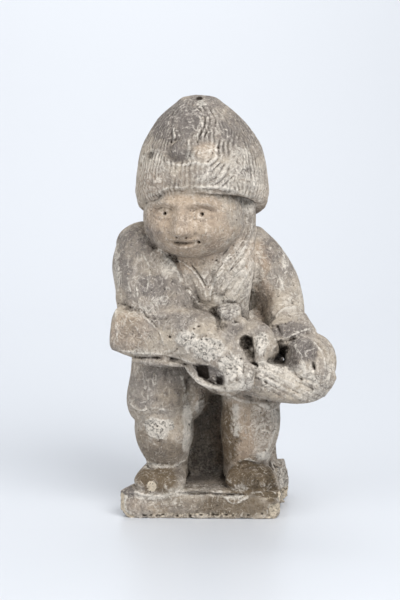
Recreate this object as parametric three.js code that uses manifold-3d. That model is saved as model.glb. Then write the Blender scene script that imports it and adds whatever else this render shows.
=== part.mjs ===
// Stone dwarf statue, carved from one block with its base.
// Millimetres, +Z up. The figure faces -Y and +X is the viewer's right.
// The origin is the middle of the underside of the bounding box.

import * as THREE from "three";
import { mergeVertices } from "three/addons/utils/BufferGeometryUtils.js";
import Module from "manifold-3d";

// Driving sizes
const TOTAL_HEIGHT = 500;
const BASE_THICKNESS = 33;
const BASE_WIDTH = 192;
const BASE_DEPTH = 146;
const CAP_RADIUS = 79.5;
const CAP_HEIGHT = 104;
const CAP_DEPTH = 78;
const CAP_LOCKS = 21;
const LOCK_DEPTH = 1.6;
const LOCK_WAVE = 0.1;
const TIP_RADIUS = 7;
const HOLE_RADIUS = 3;

// Head: middle, half sizes, and how far the face turns to the viewer's left
const HEAD = { x: -7, y: -38, z: 356, wide: 60, deep: 54, up: 60, down: 47, turn: 0.26 };
const CAP = { x: 3, y: -21, apexX: -2, apexY: -31, hemFront: 391, hemDrop: 46 };

// Heights of the face, by the usual thirds: brow to nose, nose to chin
const CHIN_Z = 310;
const BROW_Z = 378;
const NOSE_Z = (CHIN_Z + BROW_Z) / 2;
const EYE_Z = BROW_Z - 0.36 * (BROW_Z - NOSE_Z);
const MOUTH_Z = NOSE_Z - 0.36 * (NOSE_Z - CHIN_Z);
const EYE_X = 22;

const STONE = new THREE.MeshStandardMaterial({ color: 0x9b9287, roughness: 0.92, metalness: 0 });

// Each form is a row of sections along a path: x, y, z of the middle, then two half sizes.
// The first half size lies along the form's side direction, the second square to it.
const ALONG_X = new THREE.Vector3(1, 0, 0);
const ALONG_Z = new THREE.Vector3(0, 0, 1);

const FORMS = {
  torso: {
    side: ALONG_X, sides: 14, rows: 4, power: 2.5,
    sections: [[4, 12, 172, 72, 56], [4, 8, 200, 66, 58], [2, 8, 228, 59, 56],
      [2, 14, 278, 64, 54], [-4, 17, 318, 70, 46], [-6, 10, 344, 56, 36]],
  },
  chest: {
    side: ALONG_X, sides: 12, rows: 4, power: 3, round: 0.4,
    sections: [[32, -12, 338, 30, 34], [28, -20, 304, 38, 40], [22, -24, 262, 38, 38],
      [20, -24, 222, 36, 34]],
  },
  stump: {
    side: ALONG_X, sides: 14, rows: 4, power: 3,
    sections: [[22, 38, 14, 88, 34], [20, 40, 33, 86, 32], [16, 42, 51, 72, 30],
      [13, 42, 110, 66, 28], [8, 42, 165, 66, 28]],
  },
  rockLedge: {
    side: ALONG_X, sides: 10, rows: 2, power: 3, round: 0.2,
    sections: [[85, 8, 6, 25, 28], [86, 9, 26, 25, 28], [88, 12, 42, 20, 24]],
  },
  rockSpur: {
    side: ALONG_X, sides: 10, rows: 3,
    sections: [[82, 18, 38, 17, 25], [77, 26, 70, 8, 20], [74, 30, 96, 8, 16]],
  },
  coatBack: {
    side: ALONG_X, sides: 14, rows: 5, power: 2.6, round: 0.3,
    sections: [[4, 40, 124, 78, 31], [4, 37, 156, 72, 29], [3, 33, 206, 70, 30],
      [1, 28, 262, 80, 35], [-2, 25, 304, 78, 35], [-5, 18, 338, 56, 32]],
  },
  hairFall: {
    side: ALONG_X, sides: 10, rows: 4, round: 0.3,
    sections: [[56, -20, 384, 10, 20], [56, -26, 352, 10, 22], [53, -35, 324, 11, 16],
      [42, -44, 302, 10, 11]],
  },
  shirt: {
    side: ALONG_X, sides: 10, rows: 3,
    sections: [[-8, -34, 322, 24, 22], [2, -41, 292, 24, 21], [10, -46, 262, 16, 19]],
  },
  sideWeb: {
    side: ALONG_X, sides: 8, rows: 3,
    sections: [[78, -8, 304, 16, 30], [77, -6, 270, 17, 26], [80, 0, 236, 17, 21]],
  },
  hemFlap: {
    side: ALONG_X, sides: 10, rows: 3,
    sections: [[-8, -28, 164, 18, 20], [-5, -31, 142, 15, 20], [-13, -28, 121, 12, 18]],
  },
  rightBreeches: {
    side: ALONG_X, sides: 12, rows: 4, power: 2.6,
    sections: [[-46, -14, 196, 36, 42], [-48, -18, 166, 36, 46], [-50, -19, 136, 39, 47],
      [-47, -20, 118, 33, 41]],
  },
  leftBreeches: {
    side: ALONG_X, sides: 12, rows: 4, power: 2.6,
    sections: [[72, -4, 218, 32, 38], [62, -14, 188, 40, 46], [61, -18, 160, 38, 46],
      [63, -20, 134, 36, 43]],
  },
  rightLeg: {
    side: ALONG_X, sides: 12, rows: 5,
    sections: [[-45, -18, 124, 33, 38], [-43, -22, 102, 36, 40], [-42, -19, 82, 33, 37],
      [-39, -14, 58, 24, 29], [-40, -12, 44, 26, 29]],
  },
  leftLeg: {
    side: ALONG_X, sides: 12, rows: 5,
    sections: [[62, -20, 132, 34, 38], [61, -21, 106, 36, 39], [59, -17, 82, 33, 34],
      [56, -13, 58, 28, 29], [56, -12, 44, 28, 29]],
  },
  rightShoe: {
    side: ALONG_X, sides: 12, rows: 4, round: 0.5,
    sections: [[-43, 6, 44, 22, 16], [-45, -26, 44, 28, 19], [-48, -52, 41, 31, 15],
      [-49, -66, 38, 25, 12]],
  },
  leftShoe: {
    side: ALONG_X, sides: 12, rows: 4, round: 0.5,
    sections: [[58, 6, 44, 23, 16], [60, -26, 44, 28, 18], [62, -50, 41, 31, 14],
      [62, -62, 38, 25, 11]],
  },
  rightUpperArm: {
    side: ALONG_X, sides: 14, rows: 5,
    sections: [[-74, 2, 328, 28, 34], [-66, -6, 306, 42, 44], [-51, -24, 274, 52, 46],
      [-46, -38, 242, 51, 42]],
  },
  rightCuff: {
    side: ALONG_Z, sides: 14, rows: 3, power: 3.4, round: 0.25,
    sections: [[-96, -40, 226, 26, 30], [-62, -48, 221, 31, 36], [-30, -56, 221, 32, 36]],
  },
  rightForearm: {
    side: ALONG_Z, sides: 14, rows: 5, power: 2.3,
    sections: [[-36, -56, 224, 32, 34], [-4, -72, 220, 31, 34], [20, -84, 202, 35, 30],
      [40, -92, 188, 27, 25], [53, -94, 183, 17, 20]],
  },
  leftUpperArm: {
    side: ALONG_X, sides: 12, rows: 5,
    sections: [[56, 8, 316, 30, 38], [74, 4, 302, 28, 36], [92, -2, 279, 25, 32],
      [99, -14, 254, 25, 30], [100, -34, 232, 25, 28]],
  },
  leftForearm: {
    side: ALONG_X, sides: 12, rows: 2,
    sections: [[97, -18, 246, 24, 27], [104, -44, 228, 25, 26], [115, -64, 212, 26, 24]],
  },
  leftCuff: {
    side: ALONG_X, sides: 12, rows: 1, power: 2.6, round: 0.2,
    sections: [[102, -46, 227, 28, 27], [111, -60, 212, 29, 27]],
  },
  leftHand: {
    side: ALONG_X, sides: 12, rows: 4, power: 2.3,
    sections: [[119, -64, 206, 25, 22], [128, -80, 198, 30, 24], [128, -94, 184, 29, 22],
      [128, -98, 172, 24, 18]],
  },
  heldLength: {
    side: ALONG_Z, sides: 12, rows: 5, power: 3, round: 0.3,
    sections: [[40, -72, 188, 18, 26], [76, -80, 173, 22, 30], [112, -86, 166, 22, 29],
      [136, -86, 168, 18, 25], [146, -84, 171, 12, 18]],
  },
  heldShell: {
    side: ALONG_X, sides: 12, rows: 3,
    sections: [[56, -66, 226, 13, 16], [68, -76, 218, 18, 21], [77, -88, 203, 16, 19]],
  },
  heldRidge: {
    side: ALONG_X, sides: 10, rows: 3,
    sections: [[69, -96, 188, 7, 9], [70, -99, 204, 8, 9], [72, -96, 218, 6, 8]],
  },
  heldTier: {
    side: ALONG_X, sides: 10, rows: 2, power: 2.6, round: 0.3,
    sections: [[45, -72, 212, 15, 18], [43, -81, 228, 14, 15], [42, -83, 240, 12, 11]],
  },
  heldStub: {
    side: ALONG_X, sides: 12, rows: 3, round: 0.15, power: 2.6,
    sections: [[38, -68, 212, 15, 20], [35, -75, 232, 14, 17], [33, -79, 256, 14, 14]],
  },
};

// Folds, strands and lapels: ridges of one thickness along a short path
const RIDGES = {
  collarEdge: { thick: 5, path: [[64, -32, 343], [58, -47, 322], [46, -58, 302], [24, -63, 270]] },
  leftLapel: { thick: 5, path: [[46, -51, 318], [30, -58, 306], [18, -62, 284], [10, -64, 264]] },
  rightLapel: { thick: 5, path: [[-24, -50, 312], [-10, -57, 290], [8, -64, 262]] },
  sleeveFold: { thick: 6, path: [[84, -28, 258], [98, -40, 251], [112, -40, 249]] },
  cuffLedge: { thick: 5, path: [[-78, -70, 193], [-50, -82, 191], [-20, -86, 190]] },
  cuffRim: { thick: 6, path: [[-14, -86, 189], [6, -96, 171], [30, -102, 161], [50, -98, 166]] },
  thumb: { thick: 13, path: [[118, -84, 218], [124, -97, 204], [126, -102, 185]] },
};

// The tuft on the cap above the brow, at the viewer's left
const TUFT = { x: -12, y: -88, z: 438, wide: 22, deep: 8, high: 14 };

// Fingers of the two hands: root, knuckle and tip
const FINGER_THICK = 7;
const RIGHT_FINGERS = 4;
const LEFT_FINGERS = 3;

// Plain upright folds of the coat's back
const BACK_FOLDS = 4;
const BACK_FOLD_THICK = 7;

// The underside outline of the base, seen from above, a little askew and worn at one corner
function baseOutline() {
  const left = -BASE_WIDTH / 2;
  const right = BASE_WIDTH / 2;
  const front = -BASE_DEPTH / 2;
  const back = BASE_DEPTH / 2;
  const skew = 6;
  const corner = 8;
  const narrowing = 32;
  return [
    [left, front + skew + corner],
    [left + corner, front + skew],
    [right - 5, front],
    [right, front + 5],
    [right, back - skew - 14],
    [right - 16, back - skew],
    [left + narrowing + 14, back],
    [left + narrowing, back - 14],
    [left + narrowing - 6, -4],
  ];
}

// Power of a signed number
function signedPower(value, power) {
  return Math.sign(value) * Math.abs(value) ** power;
}

// A closed surface from a sphere's mesh: place(u, v) gives the point at a turn u and a height v
function closedSurface(sides, rows, place) {
  const geometry = new THREE.SphereGeometry(1, sides, rows);
  const position = geometry.attributes.position;
  for (let i = 0; i < position.count; i += 1) {
    const row = Math.floor(i / (sides + 1));
    const column = (i % (sides + 1)) % sides;
    const point = place((2 * Math.PI * column) / sides, row / rows);
    position.setXYZ(i, point.x, point.y, point.z);
  }
  return geometry;
}

// A form carried along its sections, with rounded ends
function loft({ side, sides, rows, sections, power = 2, round = 0.6 }) {
  const path = new THREE.CatmullRomCurve3(
    sections.map(([x, y, z]) => new THREE.Vector3(x, y, z)), false, "catmullrom");
  const sizes = new THREE.CatmullRomCurve3(
    sections.map((s) => new THREE.Vector3(s[3], s[4], 0)), false, "catmullrom");
  const endRows = 2;
  const allRows = rows + 2 * endRows;
  return closedSurface(sides, allRows, (turn, v) => {
    const row = Math.round(v * allRows);
    const t = THREE.MathUtils.clamp((row - endRows) / rows, 0, 1);
    const middle = path.getPoint(t);
    const ahead = path.getTangent(t);
    const size = sizes.getPoint(t);
    const fromEnd = Math.min(row, allRows - row);
    const open = fromEnd >= endRows ? 1 : Math.sin((Math.PI / 2) * (fromEnd / endRows)) ** 0.7;
    const out = fromEnd >= endRows ? 0 : Math.cos((Math.PI / 2) * (fromEnd / endRows)) ** 1.4;
    const reach = out * round * Math.min(size.x, size.y) * (t < 0.5 ? -1 : 1);
    const across = side.clone().addScaledVector(ahead, -side.dot(ahead)).normalize();
    const over = new THREE.Vector3().crossVectors(ahead, across);
    return middle
      .addScaledVector(ahead, reach)
      .addScaledVector(across, size.x * open * signedPower(Math.cos(turn), 2 / power))
      .addScaledVector(over, size.y * open * signedPower(Math.sin(turn), 2 / power));
  });
}

// A ridge of one thickness, with thin ends
function ridge({ path, thick }, rows = 3, sides = 6) {
  const last = path.length - 1;
  const sections = path.map((point, i) => {
    const size = thick * (i === 0 || i === last ? 0.75 : 1);
    return [...point, size, size];
  });
  return loft({ side: ALONG_X, sides, rows, sections });
}

// A soft bump: 1 at its middle and falling off over the two widths
function bump(u, v, wide, high) {
  return Math.exp(-((u / wide) ** 2) - (v / high) ** 2);
}

// How far the face stands out from the plain head, by the sideways place and the height
function faceRelief(across, z) {
  const side = Math.abs(across);
  const bridge = THREE.MathUtils.clamp((BROW_Z - z) / (BROW_Z - NOSE_Z), 0, 1);
  const nose = z > NOSE_Z - 6 ? (5 + 12 * bridge) * Math.exp(-((across / 9) ** 2)) : 0;
  const below = THREE.MathUtils.smoothstep(z, NOSE_Z - 7, NOSE_Z - 1);
  return nose * below * THREE.MathUtils.smoothstep(BROW_Z + 8 - z, 0, 10)
    + 5 * bump(side - EYE_X, z - BROW_Z, 18, 5)
    - 8 * bump(side - EYE_X, z - EYE_Z - 1, 13, 7)
    + 6 * bump(side - EYE_X, z - EYE_Z + 1, 9, 5)
    + 5 * bump(side - 9, z - NOSE_Z - 2, 5, 4)
    + 8 * bump(side - 29, z - NOSE_Z, 15, 13)
    + 5 * bump(across, z - MOUTH_Z - 4, 15, 4)
    + 5 * bump(across, z - MOUTH_Z + 5, 12, 4)
    - 4 * bump(across, z - MOUTH_Z, 17, 2.5)
    + 8 * bump(across, z - CHIN_Z - 8, 14, 8);
}

// The head: full above, rounded to the chin below, with the face turned to one side
function head() {
  return closedSurface(30, 17, (turn, v) => {
    const tilt = Math.PI * v ** 0.7;
    const height = Math.cos(tilt) * (tilt < Math.PI / 2 ? HEAD.up : HEAD.down);
    const ring = Math.sin(tilt) ** (tilt < Math.PI / 2 ? 0.55 : 0.8);
    const look = turn - 0.5 * Math.sin(turn);
    const side = Math.sin(look);
    const front = Math.cos(look);
    const z = HEAD.z + height;
    const across = HEAD.wide * ring * side;
    const facing = Math.sqrt(Math.max(0, front)) * Math.min(1, 1.6 * ring);
    const ahead = HEAD.deep * ring * front + faceRelief(across, z) * facing;
    const cos = Math.cos(HEAD.turn);
    const sin = Math.sin(HEAD.turn);
    return new THREE.Vector3(
      HEAD.x + across * cos - ahead * sin,
      HEAD.y - ahead * cos - across * sin,
      z);
  });
}

// The cap: a pointed dome of wavy locks, with a rolled lower edge that arches over the face
function cap() {
  const rows = 13;
  const domeRows = 10;
  return closedSurface(2 * CAP_LOCKS, rows, (turn, v) => {
    const row = Math.round(v * rows);
    const hem = CAP.hemFront - CAP.hemDrop * Math.sin(turn / 2) ** 2;
    const down = Math.min(row / domeRows, 1) ** 1.25;
    const blunt = row > 0 ? (TIP_RADIUS / CAP_RADIUS) * Math.exp(-((down * 15) ** 2)) : 0;
    const round = (1 - (1 - down) ** 2) ** 0.6 + blunt;
    const under = Math.max(0, row - domeRows);
    const lean = (1 - down) ** 2;
    const lift = [0, -3, 2, 14][under];
    const draw = [row === domeRows ? 0.97 : 1, 0.9, 0.78, 0][under];
    const skirt = THREE.MathUtils.smoothstep(down, 0.55, 1);
    const dropped = skirt * (TOTAL_HEIGHT - CAP_HEIGHT - hem - 6);
    const edge = TOTAL_HEIGHT - CAP_HEIGHT * down - dropped + lift;
    const z = draw > 0 ? edge : CAP.hemFront;
    const wave = turn + LOCK_WAVE * Math.sin(9 * down) * (0.4 + down);
    const lock = under === 0 && row > 0 ? LOCK_DEPTH * Math.cos(CAP_LOCKS * turn) * round : 0;
    return new THREE.Vector3(
      CAP.x + (CAP.apexX - CAP.x) * lean + (CAP_RADIUS * round * draw + lock) * Math.sin(wave),
      CAP.y + (CAP.apexY - CAP.y) * lean - (CAP_DEPTH * round * draw + lock) * Math.cos(wave),
      z);
  });
}

// A ball with three half sizes
function ball([x, y, z], [wide, deep, high], sides = 10, rows = 6) {
  return new THREE.SphereGeometry(1, sides, rows).scale(wide, high, deep)
    .rotateX(Math.PI / 2).translate(x, y, z);
}

// The slab of space below the underside, cut away so that the statue stands flat
function below() {
  return new THREE.BoxGeometry(600, 600, 100).translate(0, 0, -50);
}

// The base slab, standing on its flat underside
function base() {
  const shape = new THREE.Shape(baseOutline().map(([x, y]) => new THREE.Vector2(x, y)));
  return new THREE.ExtrudeGeometry(shape, { depth: BASE_THICKNESS, bevelEnabled: false });
}

// The four worn fingers of the hand at the viewer's left, side by side over the held thing
function rightFingers() {
  return Array.from({ length: RIGHT_FINGERS }, (_, i) => {
    const along = i / (RIGHT_FINGERS - 1);
    const x = 30 + 22 * along;
    const z = 190 - 2 * along;
    return ridge({ thick: FINGER_THICK, path: [[x, -106, z + 6], [x + 3, -114, z - 8],
      [x + 4, -110, z - 22]] }, 2, 6);
  });
}

// Three fingers of the fist at the viewer's right, curled round the held thing
function leftFingers() {
  return Array.from({ length: LEFT_FINGERS }, (_, i) => {
    const along = i / (LEFT_FINGERS - 1);
    const x = 135 + 14 * along;
    const z = 198 - 8 * along;
    return ridge({ thick: FINGER_THICK + 1, path: [[x - 2, -100, z], [x + 1, -114 + 8 * along, z - 16],
      [x - 1, -112 + 10 * along, z - 34]] }, 2, 6);
  });
}

// The folds of the coat's back, which spread towards its lower edge
function backFolds() {
  return Array.from({ length: BACK_FOLDS }, (_, i) => {
    const x = -48 + (96 * i) / (BACK_FOLDS - 1);
    return ridge({ thick: BACK_FOLD_THICK, path: [[0.8 * x, 58, 268], [0.9 * x, 60, 206],
      [1.1 * x + 4, 66, 130]] }, 2, 6);
  });
}

// Drilled holes and hollows, cut into the stone
function hollows() {
  return [
    ball([-1, -44, 492], [HOLE_RADIUS, 12, 4]),
    ball([7, -106, 179], [18, 22, 9], 12, 6),
    ball([92, -92, 204], [10, 12, 8], 10, 6),
    below(),
  ];
}

const wasm = await Module();
wasm.setup();

// A geometry as a solid that can be joined and cut
function solid(geometry) {
  const bare = geometry.index ? geometry.toNonIndexed() : geometry.clone();
  bare.deleteAttribute("normal");
  bare.deleteAttribute("uv");
  const merged = mergeVertices(bare, 1e-3);
  const corners = new Uint32Array(merged.index.array);
  const kept = [];
  for (let i = 0; i < corners.length; i += 3) {
    const [a, b, c] = corners.subarray(i, i + 3);
    if (a !== b && b !== c && c !== a) kept.push(a, b, c);
  }
  const build = (triVerts) => new wasm.Manifold(new wasm.Mesh({
    numProp: 3, vertProperties: merged.attributes.position.array, triVerts }));
  const made = build(new Uint32Array(kept));
  if (made.volume() > 0) return made;
  for (let i = 0; i < kept.length; i += 3) [kept[i + 1], kept[i + 2]] = [kept[i + 2], kept[i + 1]];
  return build(new Uint32Array(kept));
}

// The joined stone, as a geometry with its origin under the middle of its bounding box
function carve() {
  const joined = [
    base(), head(), cap(), ball([TUFT.x, TUFT.y, TUFT.z], [TUFT.wide, TUFT.deep, TUFT.high]),
    ...Object.values(FORMS).map(loft),
    ...Object.values(RIDGES).map((form) => ridge(form)),
    ...rightFingers(), ...leftFingers(), ...backFolds(),
  ].map(solid).reduce((whole, next) => whole.add(next));
  const stone = hollows().map(solid).reduce((whole, next) => whole.subtract(next), joined);
  const mesh = stone.getMesh();
  const geometry = new THREE.BufferGeometry();
  geometry.setAttribute("position", new THREE.BufferAttribute(
    Float32Array.from(mesh.vertProperties), 3));
  geometry.setIndex(new THREE.BufferAttribute(Uint32Array.from(mesh.triVerts), 1));
  geometry.computeBoundingBox();
  const middle = geometry.boundingBox.getCenter(new THREE.Vector3());
  geometry.translate(-middle.x, -middle.y, -geometry.boundingBox.min.z);
  geometry.computeVertexNormals();
  return geometry;
}

const group = new THREE.Group();
const statue = new THREE.Mesh(carve(), STONE);
statue.name = "dwarf_statue";
group.add(statue);

export default group;
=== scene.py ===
"""Stone dwarf statue: the carved surface, the weathered stone and a plain studio stage."""

import math

import bpy
import numpy as np
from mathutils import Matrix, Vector


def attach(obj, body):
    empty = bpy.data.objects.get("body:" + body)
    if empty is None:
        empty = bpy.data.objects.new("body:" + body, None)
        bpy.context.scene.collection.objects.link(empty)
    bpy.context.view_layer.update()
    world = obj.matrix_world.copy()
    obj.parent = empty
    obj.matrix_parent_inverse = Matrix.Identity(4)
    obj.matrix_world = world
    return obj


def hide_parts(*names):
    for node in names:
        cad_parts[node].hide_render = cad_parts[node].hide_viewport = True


bl_info = {
    "name": "Stone Dwarf Statue",
    "version": (1, 0, 0),
    "blender": (4, 5, 0),
    "location": "View3D > Sidebar > Dwarf",
    "description": "Carves a weathered stone dwarf with a shaggy cap and sets it on a plain stage",
    "category": "Add Mesh",
}

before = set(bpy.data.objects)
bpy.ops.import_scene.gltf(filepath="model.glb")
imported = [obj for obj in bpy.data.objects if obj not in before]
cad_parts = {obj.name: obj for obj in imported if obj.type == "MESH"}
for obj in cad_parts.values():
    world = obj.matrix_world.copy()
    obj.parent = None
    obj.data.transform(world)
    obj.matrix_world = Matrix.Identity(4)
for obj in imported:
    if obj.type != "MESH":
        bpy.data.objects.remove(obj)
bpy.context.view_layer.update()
MM = 0.001
MOST_TRIANGLES = 197000

# Where the middle of the statue's box lies in the frame that its sizes are written in
MIDDLE = np.array([26.0, -23.79, 0.0])

# The front view in which marks on the surface are placed: distance and height of the aim in
# millimetres, and steps of the frame for a millimetre across at a distance of one millimetre
VIEW = dict(distance=2000.0, elevation=math.radians(8), aim=253.15, scale=1651.77)

# The frame's size in steps, the camera's sensor in millimetres, and how far behind the nearest
# point of its step a point may lie, in millimetres, and still be seen
FRAME_WIDE, FRAME_HIGH = 400, 600
SENSOR = 36
SEEN_WITHIN = 7

# Driving sizes in millimetres, as the solid has them
TOTAL_HEIGHT = 500.0
BASE_THICKNESS = 33.0
BASE_WIDTH = 192.0
BASE_DEPTH = 146.0
CAP_RADIUS = 79.5
CAP_HEIGHT = 104.0
CAP_DEPTH = 78.0
TIP_RADIUS = 7.0
CAP = dict(x=3.0, y=-21.0, apex_x=-2.0, apex_y=-31.0, hem_front=391.0, hem_drop=46.0)
HEAD = dict(x=-7.0, y=-38.0, z=356.0, wide=60.0, deep=54.0, up=60.0, down=47.0, turn=0.26)

# The tuft over the brow: its middle and its three half sizes
TUFT = ((-12, -88, 438), (22, 8, 14))

# Places on the cap in steps of the frame: the whorl, the root of the loops, the corner from
# which the loops begin and the row where they end, the bare bowl and the worn band
WHORL = (187, 127)
LOOPS = (204, 150)
LOOPS_FROM = (200, 130)
LOOPS_END = 194
BOWL = (177, 152)
WORN_BAND = (186, 178)

# Heights of the face, by the usual thirds: brow to nose, nose to chin
CHIN_Z = 310.0
BROW_Z = 378.0
NOSE_Z = (CHIN_Z + BROW_Z) / 2
EYE_Z = BROW_Z - 0.36 * (BROW_Z - NOSE_Z)
MOUTH_Z = NOSE_Z - 0.36 * (NOSE_Z - CHIN_Z)
EYE_X = 22.0

ALONG_X = np.array([1.0, 0.0, 0.0])
ALONG_Z = np.array([0.0, 0.0, 1.0])

# Each form is a row of sections along a path: x, y, z of the middle, then two half sizes. In
# every name here, right and left are the figure's own.
FORMS = {
    "torso": dict(side=ALONG_X, power=2.5, sections=[
        [4, 12, 172, 72, 56], [4, 8, 200, 66, 58], [2, 8, 228, 59, 56], [2, 14, 278, 64, 54],
        [-4, 17, 318, 70, 46], [-6, 10, 344, 56, 36]]),
    "chest": dict(side=ALONG_X, power=3, round=0.4, sections=[
        [32, -12, 338, 30, 34], [28, -20, 304, 38, 40], [22, -24, 262, 38, 38],
        [20, -24, 222, 36, 34]]),
    "stump": dict(side=ALONG_X, power=3, sections=[
        [22, 38, 14, 88, 34], [20, 40, 33, 86, 32], [16, 42, 51, 72, 30], [13, 42, 110, 66, 28],
        [8, 42, 165, 66, 28]]),
    "rock_ledge": dict(side=ALONG_X, power=3, round=0.2, sections=[
        [85, 8, 6, 25, 28], [86, 9, 26, 25, 28], [88, 12, 42, 20, 24]]),
    "rock_spur": dict(side=ALONG_X, sections=[
        [82, 18, 38, 17, 25], [77, 26, 70, 8, 20], [74, 30, 96, 8, 16]]),
    "coat_back": dict(side=ALONG_X, power=2.6, round=0.3, sections=[
        [4, 40, 124, 78, 31], [4, 37, 156, 72, 29], [3, 33, 206, 70, 30], [1, 28, 262, 80, 35],
        [-2, 25, 304, 78, 35], [-5, 18, 338, 56, 32]]),
    "hair_fall": dict(side=ALONG_X, round=0.3, sections=[
        [56, -20, 384, 10, 20], [56, -26, 352, 10, 22], [53, -35, 324, 11, 16],
        [42, -44, 302, 10, 11]]),
    "shirt": dict(side=ALONG_X, sections=[
        [-8, -34, 322, 24, 22], [2, -41, 292, 24, 21], [10, -46, 262, 16, 19]]),
    "side_web": dict(side=ALONG_X, sections=[
        [78, -8, 304, 16, 30], [77, -6, 270, 17, 26], [80, 0, 236, 17, 21]]),
    "hem_flap": dict(side=ALONG_X, sections=[
        [-8, -28, 164, 18, 20], [-5, -31, 142, 15, 20], [-13, -28, 121, 12, 18]]),
    "right_breeches": dict(side=ALONG_X, power=2.6, sections=[
        [-46, -14, 196, 36, 42], [-48, -18, 166, 36, 46], [-50, -19, 136, 39, 47],
        [-47, -20, 118, 33, 41]]),
    "left_breeches": dict(side=ALONG_X, power=2.6, sections=[
        [72, -4, 218, 32, 38], [62, -14, 188, 40, 46], [61, -18, 160, 38, 46],
        [63, -20, 134, 36, 43]]),
    "right_leg": dict(side=ALONG_X, sections=[
        [-45, -18, 124, 33, 38], [-43, -22, 102, 36, 40], [-42, -19, 82, 33, 37],
        [-39, -14, 58, 24, 29], [-40, -12, 44, 26, 29]]),
    "left_leg": dict(side=ALONG_X, sections=[
        [62, -20, 132, 34, 38], [61, -21, 106, 36, 39], [59, -17, 82, 33, 34],
        [56, -13, 58, 28, 29], [56, -12, 44, 28, 29]]),
    "right_shoe": dict(side=ALONG_X, round=0.5, sections=[
        [-43, 6, 44, 22, 16], [-45, -26, 44, 28, 19], [-48, -52, 41, 31, 15],
        [-49, -66, 38, 25, 12]]),
    "left_shoe": dict(side=ALONG_X, round=0.5, sections=[
        [58, 6, 44, 23, 16], [60, -26, 44, 28, 18], [62, -50, 41, 31, 14], [62, -62, 38, 25, 11]]),
    "right_upper_arm": dict(side=ALONG_X, sections=[
        [-74, 2, 328, 28, 34], [-66, -6, 306, 42, 44], [-51, -24, 274, 52, 46],
        [-46, -38, 242, 51, 42]]),
    "right_cuff": dict(side=ALONG_Z, power=3.4, round=0.25, sections=[
        [-96, -40, 226, 26, 30], [-62, -48, 221, 31, 36], [-30, -56, 221, 32, 36]]),
    "right_forearm": dict(side=ALONG_Z, power=2.3, sections=[
        [-36, -56, 224, 32, 34], [-4, -72, 220, 31, 34], [20, -84, 202, 35, 30],
        [40, -92, 188, 27, 25], [53, -94, 183, 17, 20]]),
    "left_upper_arm": dict(side=ALONG_X, sections=[
        [56, 8, 316, 30, 38], [74, 4, 302, 28, 36], [92, -2, 279, 25, 32],
        [99, -14, 254, 25, 30], [100, -34, 232, 25, 28]]),
    "left_forearm": dict(side=ALONG_X, sections=[
        [97, -18, 246, 24, 27], [104, -44, 228, 25, 26], [115, -64, 212, 26, 24]]),
    "left_cuff": dict(side=ALONG_X, power=2.6, round=0.2, sections=[
        [102, -46, 227, 28, 27], [111, -60, 212, 29, 27]]),
    "left_hand": dict(side=ALONG_X, power=2.3, sections=[
        [119, -64, 206, 25, 22], [128, -80, 198, 30, 24], [128, -94, 184, 29, 22],
        [128, -98, 172, 24, 18]]),
    "held_length": dict(side=ALONG_Z, power=3, round=0.3, sections=[
        [40, -72, 188, 18, 26], [76, -80, 173, 22, 30], [112, -86, 166, 22, 29],
        [136, -86, 168, 18, 25], [146, -84, 171, 12, 18]]),
    "held_shell": dict(side=ALONG_X, sections=[
        [56, -66, 226, 13, 16], [68, -76, 218, 18, 21], [77, -88, 203, 16, 19]]),
    "held_ridge": dict(side=ALONG_X, sections=[
        [69, -96, 188, 7, 9], [70, -99, 204, 8, 9], [72, -96, 218, 6, 8]]),
    "held_tier": dict(side=ALONG_X, power=2.6, round=0.3, sections=[
        [45, -72, 212, 15, 18], [43, -81, 228, 14, 15], [42, -83, 240, 12, 11]]),
    "held_stub": dict(side=ALONG_X, power=2.6, round=0.15, sections=[
        [38, -68, 212, 15, 20], [35, -75, 232, 14, 17], [33, -79, 256, 14, 14]]),
}

# Folds, strands and lapels: a thickness and the path it runs along
RIDGES = {
    "collar_edge": (5, [[64, -32, 343], [58, -47, 322], [46, -58, 302], [24, -63, 270]]),
    "left_lapel": (5, [[46, -51, 318], [30, -58, 306], [18, -62, 284], [10, -64, 264]]),
    "right_lapel": (5, [[-24, -50, 312], [-10, -57, 290], [8, -64, 262]]),
    "sleeve_fold": (6, [[84, -28, 258], [98, -40, 251], [112, -40, 249]]),
    "cuff_ledge": (5, [[-78, -70, 193], [-50, -82, 191], [-20, -86, 190]]),
    "cuff_rim": (6, [[-14, -86, 189], [6, -96, 171], [30, -102, 161], [50, -98, 166]]),
    "thumb": (13, [[118, -84, 218], [124, -97, 204], [126, -102, 185]]),
}


class DwarfSizes(bpy.types.PropertyGroup):
    """Sizes of the carving that a user may change"""
    grain: bpy.props.FloatProperty(
        name="Grain", description="Distance between the points of the carved surface",
        default=1.15 * MM, min=0.8 * MM, unit="LENGTH")
    groove_pitch: bpy.props.FloatProperty(
        name="Strand width", description="Width of a strand of hair at the cap's edge",
        default=6.0 * MM, unit="LENGTH")
    groove_depth: bpy.props.FloatProperty(
        name="Groove depth", description="Depth of the grooves between the strands",
        default=1.3 * MM, unit="LENGTH")
    carving: bpy.props.FloatProperty(
        name="Carving", description="How deep the carved lines are, as a share of their listed heights",
        default=1.7, min=0)
    wear: bpy.props.IntProperty(
        name="Wear", description="Rounds of smoothing that wear the edges down",
        default=5, min=0)
    roughening: bpy.props.FloatProperty(
        name="Roughening", description="Height of the uneven stone surface",
        default=0.75 * MM, unit="LENGTH")


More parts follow.
